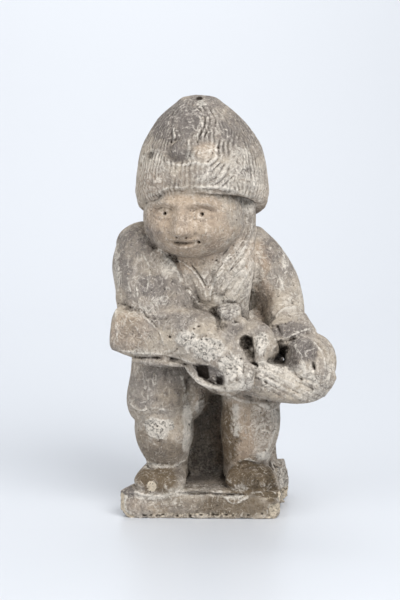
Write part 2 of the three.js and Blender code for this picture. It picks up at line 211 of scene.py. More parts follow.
class DwarfColours(bpy.types.PropertyGroup):
    """Colours of the stone and of what lies on it"""
    stone: bpy.props.FloatVectorProperty(
        name="Stone", description="Grey of the open stone",
        default=(0.34, 0.30, 0.26), subtype="COLOR", size=3, min=0, max=1)
    shelter: bpy.props.FloatVectorProperty(
        name="Sheltered stone", description="Beige of the stone that rain doesn't reach",
        default=(0.45, 0.385, 0.31), subtype="COLOR", size=3, min=0, max=1)
    warm: bpy.props.FloatVectorProperty(
        name="Warm stone", description="Peach tone of the face and the shoulder",
        default=(0.465, 0.34, 0.238), subtype="COLOR", size=3, min=0, max=1)
    damp: bpy.props.FloatVectorProperty(
        name="Damp stone", description="Brown of the lower parts",
        default=(0.125, 0.088, 0.05), subtype="COLOR", size=3, min=0, max=1)
    crust: bpy.props.FloatVectorProperty(
        name="Crust", description="Dark grey growth on surfaces that face up",
        default=(0.135, 0.118, 0.110), subtype="COLOR", size=3, min=0, max=1)
    # Pale worn stone, and painted highlight: this colour also lightens small ridges, raised lines, the
    # hair's crests and some lit patches
    dust: bpy.props.FloatVectorProperty(
        name="Dust", description="Pale worn stone",
        default=(0.66, 0.61, 0.54), subtype="COLOR", size=3, min=0, max=1)
    # Painted shade: this dark brown fills the recesses, creases and gaps where shade falls, and darkens
    # pits and holes
    dirt: bpy.props.FloatVectorProperty(
        name="Dirt", description="Brown dirt in the recesses",
        default=(0.026, 0.019, 0.014), subtype="COLOR", size=3, min=0, max=1)
    chip: bpy.props.FloatVectorProperty(
        name="Chip", description="Cream of a fresh break",
        default=(0.62, 0.53, 0.41), subtype="COLOR", size=3, min=0, max=1)


class StageSettings(bpy.types.PropertyGroup):
    """Camera and light of the plain stage"""
    distance: bpy.props.FloatProperty(
        name="Distance", description="From the camera to the middle of the statue",
        default=VIEW["distance"] * MM, unit="LENGTH")
    elevation: bpy.props.FloatProperty(
        name="Elevation", description="How far the camera looks down",
        default=VIEW["elevation"], unit="ROTATION")
    lens: bpy.props.FloatProperty(
        name="Lens", description="Focal length for a 36 mm sensor",
        default=VIEW["scale"] * SENSOR / FRAME_HIGH, unit="CAMERA")
    aim_height: bpy.props.FloatProperty(
        name="Aim height", description="Height of the point that the camera looks at",
        default=VIEW["aim"] * MM, unit="LENGTH")
    key: bpy.props.FloatProperty(
        name="Key light", description="Power of the large light at the right",
        default=33, subtype="POWER")
    fill: bpy.props.FloatProperty(
        name="Fill light", description="Power of the large light at the left",
        default=12, subtype="POWER")
    wash: bpy.props.FloatProperty(
        name="Backdrop light", description="Power of the light on the backdrop",
        default=59, subtype="POWER")
    ambient: bpy.props.FloatProperty(
        name="Ambient light", description="Strength of the light from all round",
        default=0.45)
    paper: bpy.props.FloatVectorProperty(
        name="Backdrop", description="Colour of the floor and the backdrop",
        default=(0.66, 0.68, 0.715), subtype="COLOR", size=3, min=0, max=1)


# Curves and surfaces

def smooth_path(points, t):
    """A curve through the points with even parts, and the direction along it, for each t from 0 to 1.

    Between two points it is the cubic whose slope at a point is half the step between the
    point's neighbours; beyond the ends the first and last steps are repeated.
    """
    points = np.asarray(points, float)
    padded = np.vstack([2 * points[0] - points[1], points, 2 * points[-1] - points[-2]])
    place = np.clip(np.asarray(t), 0, 1) * (len(points) - 1)
    part = np.minimum(place.astype(int), len(points) - 2)
    u = (place - part)[:, None]
    p0, p1, p2, p3 = (padded[part + k] for k in range(4))
    s1, s2 = (p2 - p0) / 2, (p3 - p1) / 2
    a = 2 * p1 - 2 * p2 + s1 + s2
    b = -3 * p1 + 3 * p2 - 2 * s1 - s2
    where = a * u**3 + b * u**2 + s1 * u + p1
    slope = 3 * a * u**2 + 2 * b * u + s1
    return where, slope


def unit(vectors):
    """Each vector divided by its length"""
    return vectors / np.maximum(np.linalg.norm(vectors, axis=-1, keepdims=True), 1e-9)


def signed_power(value, power):
    """The power of a number's size, with the number's sign"""
    return np.sign(value) * np.abs(value) ** power


def grid_surface(rings):
    """Points and faces of a closed surface whose rings run from one pole to the other.

    The rings are an array rows by sides by 3; the first and last ring are drawn together
    into one point each.
    """
    rows, sides = rings.shape[:2]
    inner = rings[1:-1].reshape(-1, 3)
    points = np.vstack([rings[0].mean(0), inner, rings[-1].mean(0)])
    row, column = np.meshgrid(np.arange(rows - 3), np.arange(sides), indexing="ij")
    a = 1 + row * sides + column
    b = 1 + row * sides + (column + 1) % sides
    quads = np.stack([a, b, b + sides, a + sides], -1).reshape(-1, 4)
    k = np.arange(sides)
    last = len(points) - 1
    first_ring = 1 + k
    last_ring = 1 + (rows - 3) * sides + k
    fan = np.stack([np.zeros_like(k), 1 + (k + 1) % sides, first_ring], -1)
    end = np.stack([np.full_like(k, last), last_ring, 1 + (rows - 3) * sides + (k + 1) % sides], -1)
    return points, quads, np.vstack([fan, end])


def loft(sections, side, power=2.0, round=0.6, sides=64, rows=48, end_rows=8):
    """A closed form carried along its sections.

    At each row the section is an oval with the two half sizes, whose corners fill out as
    the power grows. The last rows close like a quarter round, pushed out by the rounding.
    """
    sections = np.asarray(sections, float)
    k = np.arange(end_rows) / end_rows * np.pi / 2
    t = np.concatenate([np.zeros(end_rows), np.linspace(0, 1, rows), np.ones(end_rows)])
    spread = np.concatenate([np.sin(k) ** 0.7, np.ones(rows), (np.sin(k) ** 0.7)[::-1]])
    out = np.concatenate([-np.cos(k) ** 1.4, np.zeros(rows), (np.cos(k) ** 1.4)[::-1]])
    middle, ahead = smooth_path(sections[:, :3], t)
    size, _ = smooth_path(sections[:, 3:], t)
    ahead = unit(ahead)
    middle = middle + ahead * (out * round * size.min(1))[:, None]
    across = unit(side - ahead * (ahead @ side)[:, None])
    over = np.cross(ahead, across)
    turn = np.linspace(0, 2 * np.pi, sides, endpoint=False)
    cos = signed_power(np.cos(turn), 2 / power)
    sin = signed_power(np.sin(turn), 2 / power)
    size = size * spread[:, None]
    rings = (middle[:, None] + across[:, None] * (size[:, :1] * cos)[..., None]
             + over[:, None] * (size[:, 1:] * sin)[..., None])
    return grid_surface(rings)


def ridge(thick, path):
    """A round strand of one thickness along a path, with thinner ends"""
    size = np.full(len(path), float(thick))
    size[[0, -1]] *= 0.75
    return loft(np.column_stack([path, size, size]), ALONG_X, sides=24, rows=24, end_rows=5)


def bump(u, v, wide, high):
    """A soft bump: 1 at its middle, falling off as a bell over the two widths"""
    return np.exp(-((u / wide) ** 2) - (v / high) ** 2)


def ramp(value, low, high):
    """0 below low, 1 above high and a smooth rise between"""
    t = np.clip((value - low) / (high - low), 0, 1)
    return t * t * (3 - 2 * t)


def face_relief(across, z):
    """How far the face stands out from the plain head, by the sideways place and the height"""
    side = np.abs(across)
    bridge = np.clip((BROW_Z - z) / (BROW_Z - NOSE_Z), 0, 1)
    nose = (5 + 12 * bridge) * np.exp(-((across / 9) ** 2))
    nose = nose * ramp(z, NOSE_Z - 7, NOSE_Z - 1) * ramp(BROW_Z + 8 - z, 0, 10)
    return (nose + 5 * bump(side - EYE_X, z - BROW_Z, 18, 5)
            - 8 * bump(side - EYE_X, z - EYE_Z - 1, 13, 7)
            + 6 * bump(side - EYE_X, z - EYE_Z + 1, 9, 5)
            + 5 * bump(side - 9, z - NOSE_Z - 2, 5, 4)
            + 8 * bump(side - 29, z - NOSE_Z, 15, 13)
            + 5 * bump(across, z - MOUTH_Z - 4, 15, 4)
            + 5 * bump(across, z - MOUTH_Z + 5, 12, 4)
            - 4 * bump(across, z - MOUTH_Z, 17, 2.5)
            + 8 * bump(across, z - CHIN_Z - 8, 14, 8))


def head_surface(sides=160, rows=140):
    """The head: an egg whose half sizes differ above and below, with the face relief in front"""
    turn = np.linspace(0, 2 * np.pi, sides, endpoint=False)[None, :]
    tilt = np.linspace(0, np.pi, rows)[:, None]
    height = np.cos(tilt) * np.where(tilt < np.pi / 2, HEAD["up"], HEAD["down"])
    ring = np.sin(tilt) ** np.where(tilt < np.pi / 2, 0.55, 0.8)
    z = HEAD["z"] + height + 0 * turn
    across = HEAD["wide"] * ring * np.sin(turn)
    front = np.cos(turn)
    facing = np.sqrt(np.maximum(0, front)) * np.minimum(1, 1.6 * ring)
    ahead = HEAD["deep"] * ring * front + face_relief(across, z) * facing
    cos, sin = math.cos(HEAD["turn"]), math.sin(HEAD["turn"])
    rings = np.stack([HEAD["x"] + across * cos - ahead * sin,
                      HEAD["y"] - ahead * cos - across * sin, z], -1)
    return grid_surface(rings)


def cap_profile(down):
    """The cap's radius as a share of its full radius, for a depth below the apex from 0 to 1"""
    blunt = TIP_RADIUS / CAP_RADIUS * np.exp(-((down * 15) ** 2))
    return (1 - (1 - down) ** 2) ** 0.6 + blunt * np.minimum(1, down * 60)


def hem_height(turn):
    """Height of the cap's lower edge, high in front and low behind, by the turn from the front"""
    return CAP["hem_front"] - CAP["hem_drop"] * np.sin(turn / 2) ** 2


def cap_surface(sides=240, dome_rows=120):
    """The cap: a pointed dome down to an arched lower edge that rolls under"""
    turn = np.linspace(0, 2 * np.pi, sides, endpoint=False)[None, :]
    down = (np.linspace(0, 1, dome_rows) ** 1.3)[:, None]
    share = cap_profile(down) * (1 - 0.03 * ramp(down, 0.9, 1))
    hem = hem_height(turn)
    top = TOTAL_HEIGHT
    skirt = ramp(down, 0.55, 1)
    z = top - CAP_HEIGHT * down - skirt * (top - CAP_HEIGHT - hem - 6)
    lean = (1 - down) ** 2
    under_share = np.array([0.95, 0.9, 0.84, 0.78, 0.5, 0.0])[:, None] + 0 * turn
    under_z = hem + np.array([1.5, -1.5, -1.0, 2, 3, 0])[:, None]
    under_z[-1] = CAP["hem_front"]
    share = np.vstack([share + 0 * turn, under_share])
    lean = np.vstack([lean + 0 * turn, 0 * under_share])
    z = np.vstack([z, under_z])
    x = CAP["x"] + (CAP["apex_x"] - CAP["x"]) * lean + CAP_RADIUS * share * np.sin(turn)
    y = CAP["y"] + (CAP["apex_y"] - CAP["y"]) * lean - CAP_DEPTH * share * np.cos(turn)
    return grid_surface(np.stack([x, y, z], -1))


def base_surface():
    """The base slab: its outline from above, carried up between the underside and the top"""
    left, right = -BASE_WIDTH / 2, BASE_WIDTH / 2
    front, back = -BASE_DEPTH / 2, BASE_DEPTH / 2
    skew, corner, narrowing = 6, 8, 32
    outline = np.array([
        [left, front + skew + corner], [left + corner, front + skew], [right - 5, front],
        [right, front + 5], [right, back - skew - 14], [right - 16, back - skew],
        [left + narrowing + 14, back], [left + narrowing, back - 14],
        [left + narrowing - 6, -4]])
    t = np.linspace(0, len(outline), 240, endpoint=False)
    part = t.astype(int)
    u = (t - part)[:, None]
    edge = outline[part] * (1 - u) + outline[(part + 1) % len(outline)] * u
    centre = outline.mean(0)
    levels = np.array([0, 0, 0.0, 0.25, 0.5, 0.75, 1, 1, 1]) * BASE_THICKNESS
    draw = np.array([0, 0.5, 1, 1, 1, 1, 1, 0.5, 0])
    rings = centre + (edge - centre)[None] * draw[:, None, None]
    rings = np.concatenate([rings, np.broadcast_to(levels[:, None, None], rings.shape[:2] + (1,))], -1)
    return grid_surface(rings)


def ball(place, half_sizes, sides=40, rows=28):
    """A ball with three half sizes"""
    turn = np.linspace(0, 2 * np.pi, sides, endpoint=False)[None, :]
    tilt = np.linspace(0, np.pi, rows)[:, None]
    rings = np.stack([np.sin(tilt) * np.cos(turn), np.sin(tilt) * np.sin(turn),
                      np.cos(tilt) + 0 * turn], -1)
    return grid_surface(np.asarray(place) + rings * np.asarray(half_sizes))


def right_fingers():
    """The four worn fingers at the viewer's left, side by side over the held thing"""
    for i in range(4):
        along = i / 3
        x, z = 30 + 22 * along, 190 - 2 * along
        yield ridge(7, [[x, -106, z + 6], [x + 3, -114, z - 8], [x + 4, -110, z - 22]])


def left_fingers():
    """Three fingers of the fist at the viewer's right"""
    for i in range(3):
        along = i / 2
        x, z = 135 + 14 * along, 198 - 8 * along
        yield ridge(8, [[x - 2, -100, z], [x + 1, -114 + 8 * along, z - 16],
                        [x - 1, -112 + 10 * along, z - 34]])


def back_folds():
    """The folds of the coat's back, which spread towards its lower edge"""
    for x in np.linspace(-48, 48, 4):
        yield ridge(7, [[0.8 * x, 58, 268], [0.9 * x, 60, 206], [1.1 * x + 4, 66, 130]])


def rough_forms():
    """Every form of the statue before it is joined into one surface"""
    yield base_surface()
    yield head_surface()
    yield cap_surface()
    yield ball(*TUFT)
    for form in FORMS.values():
        yield loft(**form)
    for thick, path in RIDGES.values():
        yield ridge(thick, path)
    yield from right_fingers()
    yield from left_fingers()
    yield from back_folds()


def joined_mesh(name, surfaces):
    """One mesh of many closed surfaces"""
    points, quads, triangles = [], [], []
    start = 0
    for p, q, t in surfaces:
        points.append(p)
        quads.append(q + start)
        triangles.append(t + start)
        start += len(p)
    points = np.vstack(points) - MIDDLE
    quads, triangles = np.vstack(quads), np.vstack(triangles)
    mesh = bpy.data.meshes.new(name)
    mesh.vertices.add(len(points))
    mesh.vertices.foreach_set("co", (points * MM).ravel())
    mesh.loops.add(quads.size + triangles.size)
    mesh.loops.foreach_set("vertex_index", np.concatenate([quads.ravel(), triangles.ravel()]))
    mesh.polygons.add(len(quads) + len(triangles))
    starts = np.concatenate([np.arange(len(quads)) * 4, quads.size + np.arange(len(triangles)) * 3])
    mesh.polygons.foreach_set("loop_start", starts)
    mesh.update(calc_edges=True)
    return mesh


def apply_modifiers(thing):
    """Replaces the object's mesh by the one its modifiers make"""
    graph = bpy.context.evaluated_depsgraph_get()
    made = bpy.data.meshes.new_from_object(thing.evaluated_get(graph))
    thing.modifiers.clear()
    thing.data = made


# Whole-surface arrays

class Surface:
    """The points of a mesh in millimetres in the sizes' frame, with their neighbours"""

    def __init__(self, mesh):
        """Reads the points and edges of a mesh"""
        self.mesh = mesh
        count = len(mesh.vertices)
        self.points = np.empty(count * 3)
        mesh.vertices.foreach_get("co", self.points)
        self.points = self.points.reshape(-1, 3) / MM + MIDDLE
        edges = np.empty(len(mesh.edges) * 2, np.int32)
        mesh.edges.foreach_get("vertices", edges)
        edges = edges.reshape(-1, 2)
        self.start = np.concatenate([edges[:, 0], edges[:, 1]])
        self.end = np.concatenate([edges[:, 1], edges[:, 0]])
        self.degree = np.maximum(np.bincount(self.start, minlength=count), 1)
        self.renew()

    def around(self, values):
        """The mean of each point's neighbours"""
        total = [np.bincount(self.start, values[self.end, k], len(self.points))
                 for k in range(values.shape[1])]
        return np.stack(total, -1) / self.degree[:, None]

    def smooth(self, rounds, share=0.5):
        """Moves each point towards the middle of its neighbours"""
        for _ in range(rounds):
            self.points += (self.around(self.points) - self.points) * share

    def soften(self, share, rounds):
        """Smooths only where the share is above zero, which fills narrow gaps there"""
        for _ in range(rounds):
            self.points += (self.around(self.points) - self.points) * (0.6 * share)[:, None]

    def even(self, values, rounds):
        """The values smoothed along the surface"""
        values = values[:, None]
        for _ in range(rounds):
            values = 0.5 * values + 0.5 * self.around(values)
        return values[:, 0]

    def hollow(self, rounds):
        """How far each point lies below its smoothed surroundings"""
        smoothed = np.stack([self.even(self.points[:, k], rounds) for k in range(3)], -1)
        return np.einsum("ij,ij->i", smoothed - self.points, self.normals)

    def renew(self):
        """Writes the points back and reads the normals"""
        self.mesh.vertices.foreach_set("co", ((self.points - MIDDLE) * MM).ravel())
        self.mesh.update()
        self.normals = np.empty(len(self.points) * 3)
        self.mesh.vertices.foreach_get("normal", self.normals)
        self.normals = self.normals.reshape(-1, 3)

    def push(self, height, direction=None):
        """Moves each point along its normal, or along one direction"""
        self.points += (self.normals if direction is None else direction) * height[:, None]


class Picture:
    """Where each point is seen from the front, in steps across and down a 400 by 600 frame.

    A point counts as seen when no other point in its step of the frame lies much nearer.
    """

    def __init__(self, surface):
        """Looks at the surface from the front"""
        slope = VIEW["elevation"]
        self.back = np.array([0, -math.cos(slope), math.sin(slope)])
        up = np.array([0, math.sin(slope), math.cos(slope)])
        eye = np.array([0, 0, VIEW["aim"]]) + VIEW["distance"] * self.back
        offset = surface.points - eye
        depth = -(offset @ self.back)
        self.across = FRAME_WIDE / 2 + VIEW["scale"] * offset[:, 0] / depth
        self.down = FRAME_HIGH / 2 - VIEW["scale"] * (offset @ up) / depth
        step = np.floor(self.down).astype(int) * FRAME_WIDE + np.floor(self.across).astype(int)
        nearest = np.full(FRAME_HIGH * FRAME_WIDE, 1e9)
        np.minimum.at(nearest, step, depth)
        seen = depth < nearest[step] + SEEN_WITHIN
        facing = surface.normals @ self.back
        self.front = surface.even(seen * ramp(facing, 0.0, 0.25), 2)

    def box(self, low, high):
        """The seen points between two corners"""
        return np.flatnonzero((self.across > low[0]) & (self.across < high[0])
                              & (self.down > low[1]) & (self.down < high[1])
                              & (self.front > 0.02))


def lattice_noise(points, size, seed):
    """Smooth noise from -1 to 1: random values on a lattice of the given size, blended between"""
    table = np.random.default_rng(seed).uniform(-1, 1, 4096)
    place = points / size + 1000.5
    cell = np.floor(place).astype(np.int64)
    u = place - cell
    u = u * u * (3 - 2 * u)
    total = np.zeros(len(points))
    for corner in range(8):
        step = np.array([corner & 1, corner >> 1 & 1, corner >> 2 & 1])
        at = cell + step
        value = table[(at[:, 0] * 73856093 ^ at[:, 1] * 19349663 ^ at[:, 2] * 83492791) % 4096]
        total += value * np.prod(np.where(step, u, 1 - u), axis=1)
    return total


def layered_noise(points, size, seed, layers=3):
    """Noise of several sizes, each half as large and half as strong as the one before"""
    total, strength = 0, 1.0
    for k in range(layers):
        total = total + strength * lattice_noise(points, size / 2**k, seed + k)
        strength *= 0.5
    return total / 1.6


def beside_path(points, path):
    """Distance from each flat point to a bent line, below zero on the line's left"""
    best = np.full(len(points), 1e9)
    side = np.ones(len(points))
    for a, b in zip(path[:-1], path[1:]):
        ahead = b - a
        offset = points - a
        along = np.clip(offset @ ahead / max(ahead @ ahead, 1e-9), 0, 1)
        away = np.hypot(*(offset - along[:, None] * ahead).T)
        nearer = away < best
        best = np.where(nearer, away, best)
        turn = ahead[0] * offset[:, 1] - ahead[1] * offset[:, 0]
        side = np.where(nearer, np.sign(turn), side)
    return best * side


def inside_outline(points, outline):
    """Distance from each flat point to a closed outline, above zero inside it"""
    loop = np.vstack([outline, outline[:1]])
    crossings = np.zeros(len(points), int)
    for a, b in zip(loop[:-1], loop[1:]):
        spans = (points[:, 1] >= min(a[1], b[1])) & (points[:, 1] < max(a[1], b[1]))
        slope = (b[0] - a[0]) / (b[1] - a[1]) if a[1] != b[1] else 0.0
        crossings += spans & (points[:, 0] < a[0] + slope * (points[:, 1] - a[1]))
    return np.where(crossings % 2, 1, -1) * np.abs(beside_path(points, loop))


def draw_lines(picture, lines, total, wear):
    """Adds ridges and grooves: a bell across each line, in steps of the frame, partly worn away"""
    for height, width, path in lines:
        path = np.array(path, float)
        line, _ = smooth_path(path, np.linspace(0, 1, 8 * len(path)))
        near = picture.box(line.min(0) - 3 * width, line.max(0) + 3 * width)
        away = beside_path(np.stack([picture.across[near], picture.down[near]], -1), line)
        profile = np.exp(-((away / width) ** 2)) * wear[near]
        total[near] += height * profile * picture.front[near]


def draw_spots(picture, spots, total):
    """Adds bumps and pits: a place in the frame, two half sizes and a height"""
    for across, down, wide, high, height in spots:
        near = picture.box((across - 3 * wide, down - 3 * high), (across + 3 * wide, down + 3 * high))
        u = (picture.across[near] - across) / wide
        v = (picture.down[near] - down) / high
        total[near] += height * np.exp(-(np.hypot(u, v) ** 2.6)) * picture.front[near]


def outline_mask(picture, outline, edge, ragged):
    """The points inside an outline on the front, and how far each is in, past a ragged edge"""
    outline = np.array([*outline, outline[0]], float)
    outline, _ = smooth_path(outline, np.linspace(0, 1, 6 * len(outline)))
    outline = outline[:-1]
    near = picture.box(outline.min(0) - 3 * edge - 2, outline.max(0) + 3 * edge + 2)
    flat = np.stack([picture.across[near], picture.down[near]], -1)
    inside = inside_outline(flat, outline) + 1.3 * ragged[near]
    return near, ramp(inside, -edge, edge) * picture.front[near]


def patches(picture, spots, ragged):
    """How strongly a point lies in one of the patches, whose edges the noise makes ragged"""
    total = np.zeros(len(ragged))
    for across, down, wide, high, strength in spots:
        near = picture.box((across - 2 * wide, down - 2 * high), (across + 2 * wide, down + 2 * high))
        u = (picture.across[near] - across) / wide
        v = (picture.down[near] - down) / high
        share = strength * ramp(1.25 - np.hypot(u, v) - 0.45 * ragged[near], 0, 0.6)
        total[near] = np.maximum(total[near], share * picture.front[near])
    return total


def cap_place(points):
    """Turn round the cap, depth below its apex and how nearly a point lies on the cap"""
    down = np.clip((TOTAL_HEIGHT - points[:, 2]) / CAP_HEIGHT, 0.002, 1)
    lean = (1 - down) ** 2
    x = points[:, 0] - CAP["x"] - (CAP["apex_x"] - CAP["x"]) * lean
    y = points[:, 1] - CAP["y"] - (CAP["apex_y"] - CAP["y"]) * lean
    turn = np.arctan2(x / CAP_RADIUS, -y / CAP_DEPTH)
    reach = np.hypot(x / CAP_RADIUS, y / CAP_DEPTH)
    gap = np.abs(reach - cap_profile(down)) * CAP_RADIUS
    on_cap = ramp(-gap, -18, -10) * ramp(points[:, 2] - hem_height(turn), -3, 2)
    return turn, down, on_cap


def cap_strands(surface, picture, pitch):
    """Where the strands of hair lie on the cap: three phases and how far each one counts.

    A strand is one turn of its phase. The first runs round the cap, so that strands come down
    from the apex in waves; the second closes into rings round a whorl over the brow; the third
    hangs in loops below a tuft.
    """
    points = surface.points
    turn, down, on_cap = cap_place(points)
    below = TOTAL_HEIGHT - points[:, 2]
    drift = layered_noise(points, 50.0, 5, 2)
    wave = np.sin(below / 2.6 + 3.2 * drift + 3 * np.sin(turn))
    sway = (1.5 - 0.4 * down) * wave * (0.6 + 0.9 * lattice_noise(points, 16.0, 23))
    sway += 5.0 * lattice_noise(points, 60.0, 6) + 1.4 * lattice_noise(points, 9.0, 24)
    around = 4 * round(np.pi * CAP_RADIUS / pitch / 2)
    strands = {"round": around * (turn + sway / (CAP_RADIUS * cap_profile(down)))}
    across, low = picture.across, picture.down
    whorl = np.hypot((across - WHORL[0]) / 0.95, (low - WHORL[1]) / 1.15) + 1.2 * drift
    strands["whorl"] = 2 * np.pi * whorl / 4.6
    loops = np.hypot(across - LOOPS[0], np.maximum(low - LOOPS[1], 0) * 0.85) + 1.6 * drift
    loops = loops + 0.9 * np.sin(low / 3.2 + across / 9) + lattice_noise(points, 9.0, 14)
    strands["loops"] = 2 * np.pi * loops / 5.2
    strands["whorl_share"] = 0.7 * ramp(15 - whorl, 0, 5) * picture.front
    strands["loops_share"] = (ramp(across - LOOPS_FROM[0], 0, 12) * ramp(low - LOOPS_FROM[1], 0, 12)
                              * ramp(46 - loops, 0, 10) * ramp(LOOPS_END - low, 0, 8)
                              * ramp(loops, 1, 3) * picture.front)
    strands["fine_share"] = ramp(down, 0.24, 0.34)
    worn = 0.1 + 0.9 * ramp(layered_noise(points, 9.0, 11, 3), -0.3, 0.3)
    bowl = np.hypot(across - BOWL[0], low - BOWL[1]) / 11
    bare = np.maximum(0.7 * ramp(9 - whorl, 0, 4), 0.95 * ramp(1.15 - bowl, 0, 0.3))
    worn = worn * (1 - bare * picture.front)
    band = ramp(30 - np.abs(across - WORN_BAND[0]), 0, 10) * ramp(15 - np.abs(low - WORN_BAND[1]), 0, 6)
    strands["strength"] = (on_cap * worn * (1 - 0.45 * band * picture.front)
                           * (0.55 + 0.45 * ramp(down, 0.25, 0.5)) * ramp(down, 0.02, 0.08)
                           * ramp(np.pi - np.abs(turn), 0.03, 0.06))
    return strands


def strand_height(strands):
    """Height of the strands from -1 in the grooves to 0 on top, mixed from the three phases"""
    def wave(phase):
        """The height over one strand: a rounded back between two sharp grooves"""
        return np.abs(np.sin(phase / 2)) ** 0.7 - 1

    height = wave(strands["round"] / 2)
    height += (wave(strands["round"]) - height) * strands["fine_share"]
    for name in ("whorl", "loops"):
        height += (wave(strands[name]) - height) * strands[name + "_share"]
    return height * strands["strength"]


def face_place(surface):
    """Sideways place on the face, and how nearly a point belongs to it"""
    x = surface.points[:, 0] - HEAD["x"]
    y = surface.points[:, 1] - HEAD["y"]
    cos, sin = math.cos(HEAD["turn"]), math.sin(HEAD["turn"])
    across = x * cos - y * sin
    ahead = -x * sin - y * cos
    z = surface.points[:, 2]
    turned = surface.normals @ np.array([-sin, -cos, 0])
    edge = hem_height(0.0) - 2 - 14 * (across / 60) ** 2
    on_face = (ramp(ahead, 10, 22) * ramp(turned, 0.02, 0.2) * ramp(edge - z, 0, 3)
               * ramp(z, CHIN_Z - 6, CHIN_Z) * ramp(46 - np.abs(across), 0, 6))
    return across, on_face, np.array([-sin, -cos, 0])


# Lines of the face on one side: height, width and path, all in millimetres
FACE_LINES = [
    (1.5, 1.6, [(EYE_X - 12, EYE_Z - 2), (EYE_X - 4, EYE_Z + 3), (EYE_X + 5, EYE_Z + 3),
                (EYE_X + 13, EYE_Z - 3)]),
    (-1.1, 1.6, [(EYE_X - 10, EYE_Z + 3), (EYE_X, EYE_Z + 7), (EYE_X + 13, EYE_Z + 2)]),
    (1.0, 1.4, [(EYE_X - 12, EYE_Z - 2), (EYE_X - 3, EYE_Z - 5), (EYE_X + 6, EYE_Z - 5),
                (EYE_X + 13, EYE_Z - 3)]),
    (-0.9, 1.5, [(EYE_X - 8, EYE_Z - 6), (EYE_X + 2, EYE_Z - 9), (EYE_X + 12, EYE_Z - 7)]),
    (1.6, 3.2, [(8, BROW_Z - 3), (EYE_X, BROW_Z + 1), (38, BROW_Z - 5)]),
    (-1.2, 1.6, [(6, NOSE_Z + 12), (13, NOSE_Z + 6), (15, NOSE_Z - 1), (11, NOSE_Z - 6)]),
    (-1.3, 2.2, [(15, NOSE_Z - 1), (22, MOUTH_Z + 5), (24, MOUTH_Z - 4)]),
    (-1.8, 1.3, [(0, MOUTH_Z - 0.6), (8, MOUTH_Z), (17, MOUTH_Z + 1.6)]),
    (1.2, 1.8, [(0, MOUTH_Z + 3), (6, MOUTH_Z + 4), (15, MOUTH_Z + 2.6)]),
    (1.3, 2.2, [(0, MOUTH_Z - 4.6), (8, MOUTH_Z - 4), (14, MOUTH_Z - 1)]),
    (-1.6, 2.6, [(0, MOUTH_Z - 10.5), (11, MOUTH_Z - 9)]),
    (-0.9, 1.8, [(0, NOSE_Z - 7), (0, MOUTH_Z + 6)]),
]

# Small drilled holes: sideways place, height, radius and depth
FACE_HOLES = [(-EYE_X, EYE_Z - 1, 2.1, 6), (EYE_X, EYE_Z - 1, 2.1, 6), (-5.5, NOSE_Z - 5, 1.7, 3),
              (5.5, NOSE_Z - 5, 1.7, 3), (18, MOUTH_Z + 1.5, 2.0, 5)]


def carve_face(surface):
    """Cuts lids, brows, nose wings, lips and the drilled holes of a calm, regular face.

    Returns how nearly each point belongs to the face.
    """
    across, on_face, ahead = face_place(surface)
    z = surface.points[:, 2]
    near = np.flatnonzero(on_face > 0.01)
    flat = np.stack([np.abs(across[near]), z[near]], -1)
    height = np.zeros(len(near))
    for high, width, path in FACE_LINES:
        line, _ = smooth_path(np.array(path, float), np.linspace(0, 1, 24))
        height += high * np.exp(-((beside_path(flat, line) / width) ** 2))
    for x, up, radius, depth in FACE_HOLES:
        away = np.hypot(across[near] - x, z[near] - up)
        height -= depth * np.exp(-((away / radius) ** 4))
    surface.points[near] += ahead * (height * on_face[near])[:, None]
    surface.renew()
    return on_face


def crowding(surface, cell, reach):
    """How much stone surface lies in front of each point, which is large in recesses.

    The points are counted on a lattice, the counts are blurred by a bell, and the result
    is read a little way out along each normal.
    """
    low = surface.points.min(0) - 4 * cell
    shape = np.ceil((surface.points.max(0) + 4 * cell - low) / cell).astype(int) + 1
    at = ((surface.points - low) / cell).astype(int)
    flat = np.ravel_multi_index(at.T, shape)
    count = np.bincount(flat, minlength=shape.prod()).reshape(shape).astype(float)
    for axis in range(3):
        spectrum = np.fft.rfft(count, axis=axis)
        wave = np.fft.rfftfreq(count.shape[axis])
        bell = np.exp(-2 * (np.pi * wave * reach / cell) ** 2)
        spectrum *= bell.reshape([-1 if k == axis else 1 for k in range(3)])
        count = np.fft.irfft(spectrum, count.shape[axis], axis=axis)
    out = surface.points + surface.normals * reach * 1.3
    at = np.clip(((out - low) / cell).astype(int), 0, np.array(shape) - 1)
    value = count[at[:, 0], at[:, 1], at[:, 2]]
    return value / np.median(value)


# The patterns of the uneven stone: size in millimetres, seed and number of layers
PATTERNS = {
    "sag": (40.0, 1, 2), "wear": (9.0, 51, 2), "lumps": (10.0, 3, 3), "fine": (3.0, 8, 2),
    "streaks": (3.2, 12, 2), "pitted": (4.5, 31, 2), "foot": (6.0, 61, 2),
    "ragged": (14.0, 41, 3), "cloud": (34.0, 21, 3),
}

# Marks on the front. A line is a height in millimetres, then its width in steps of the frame
# and its path in steps across and down.

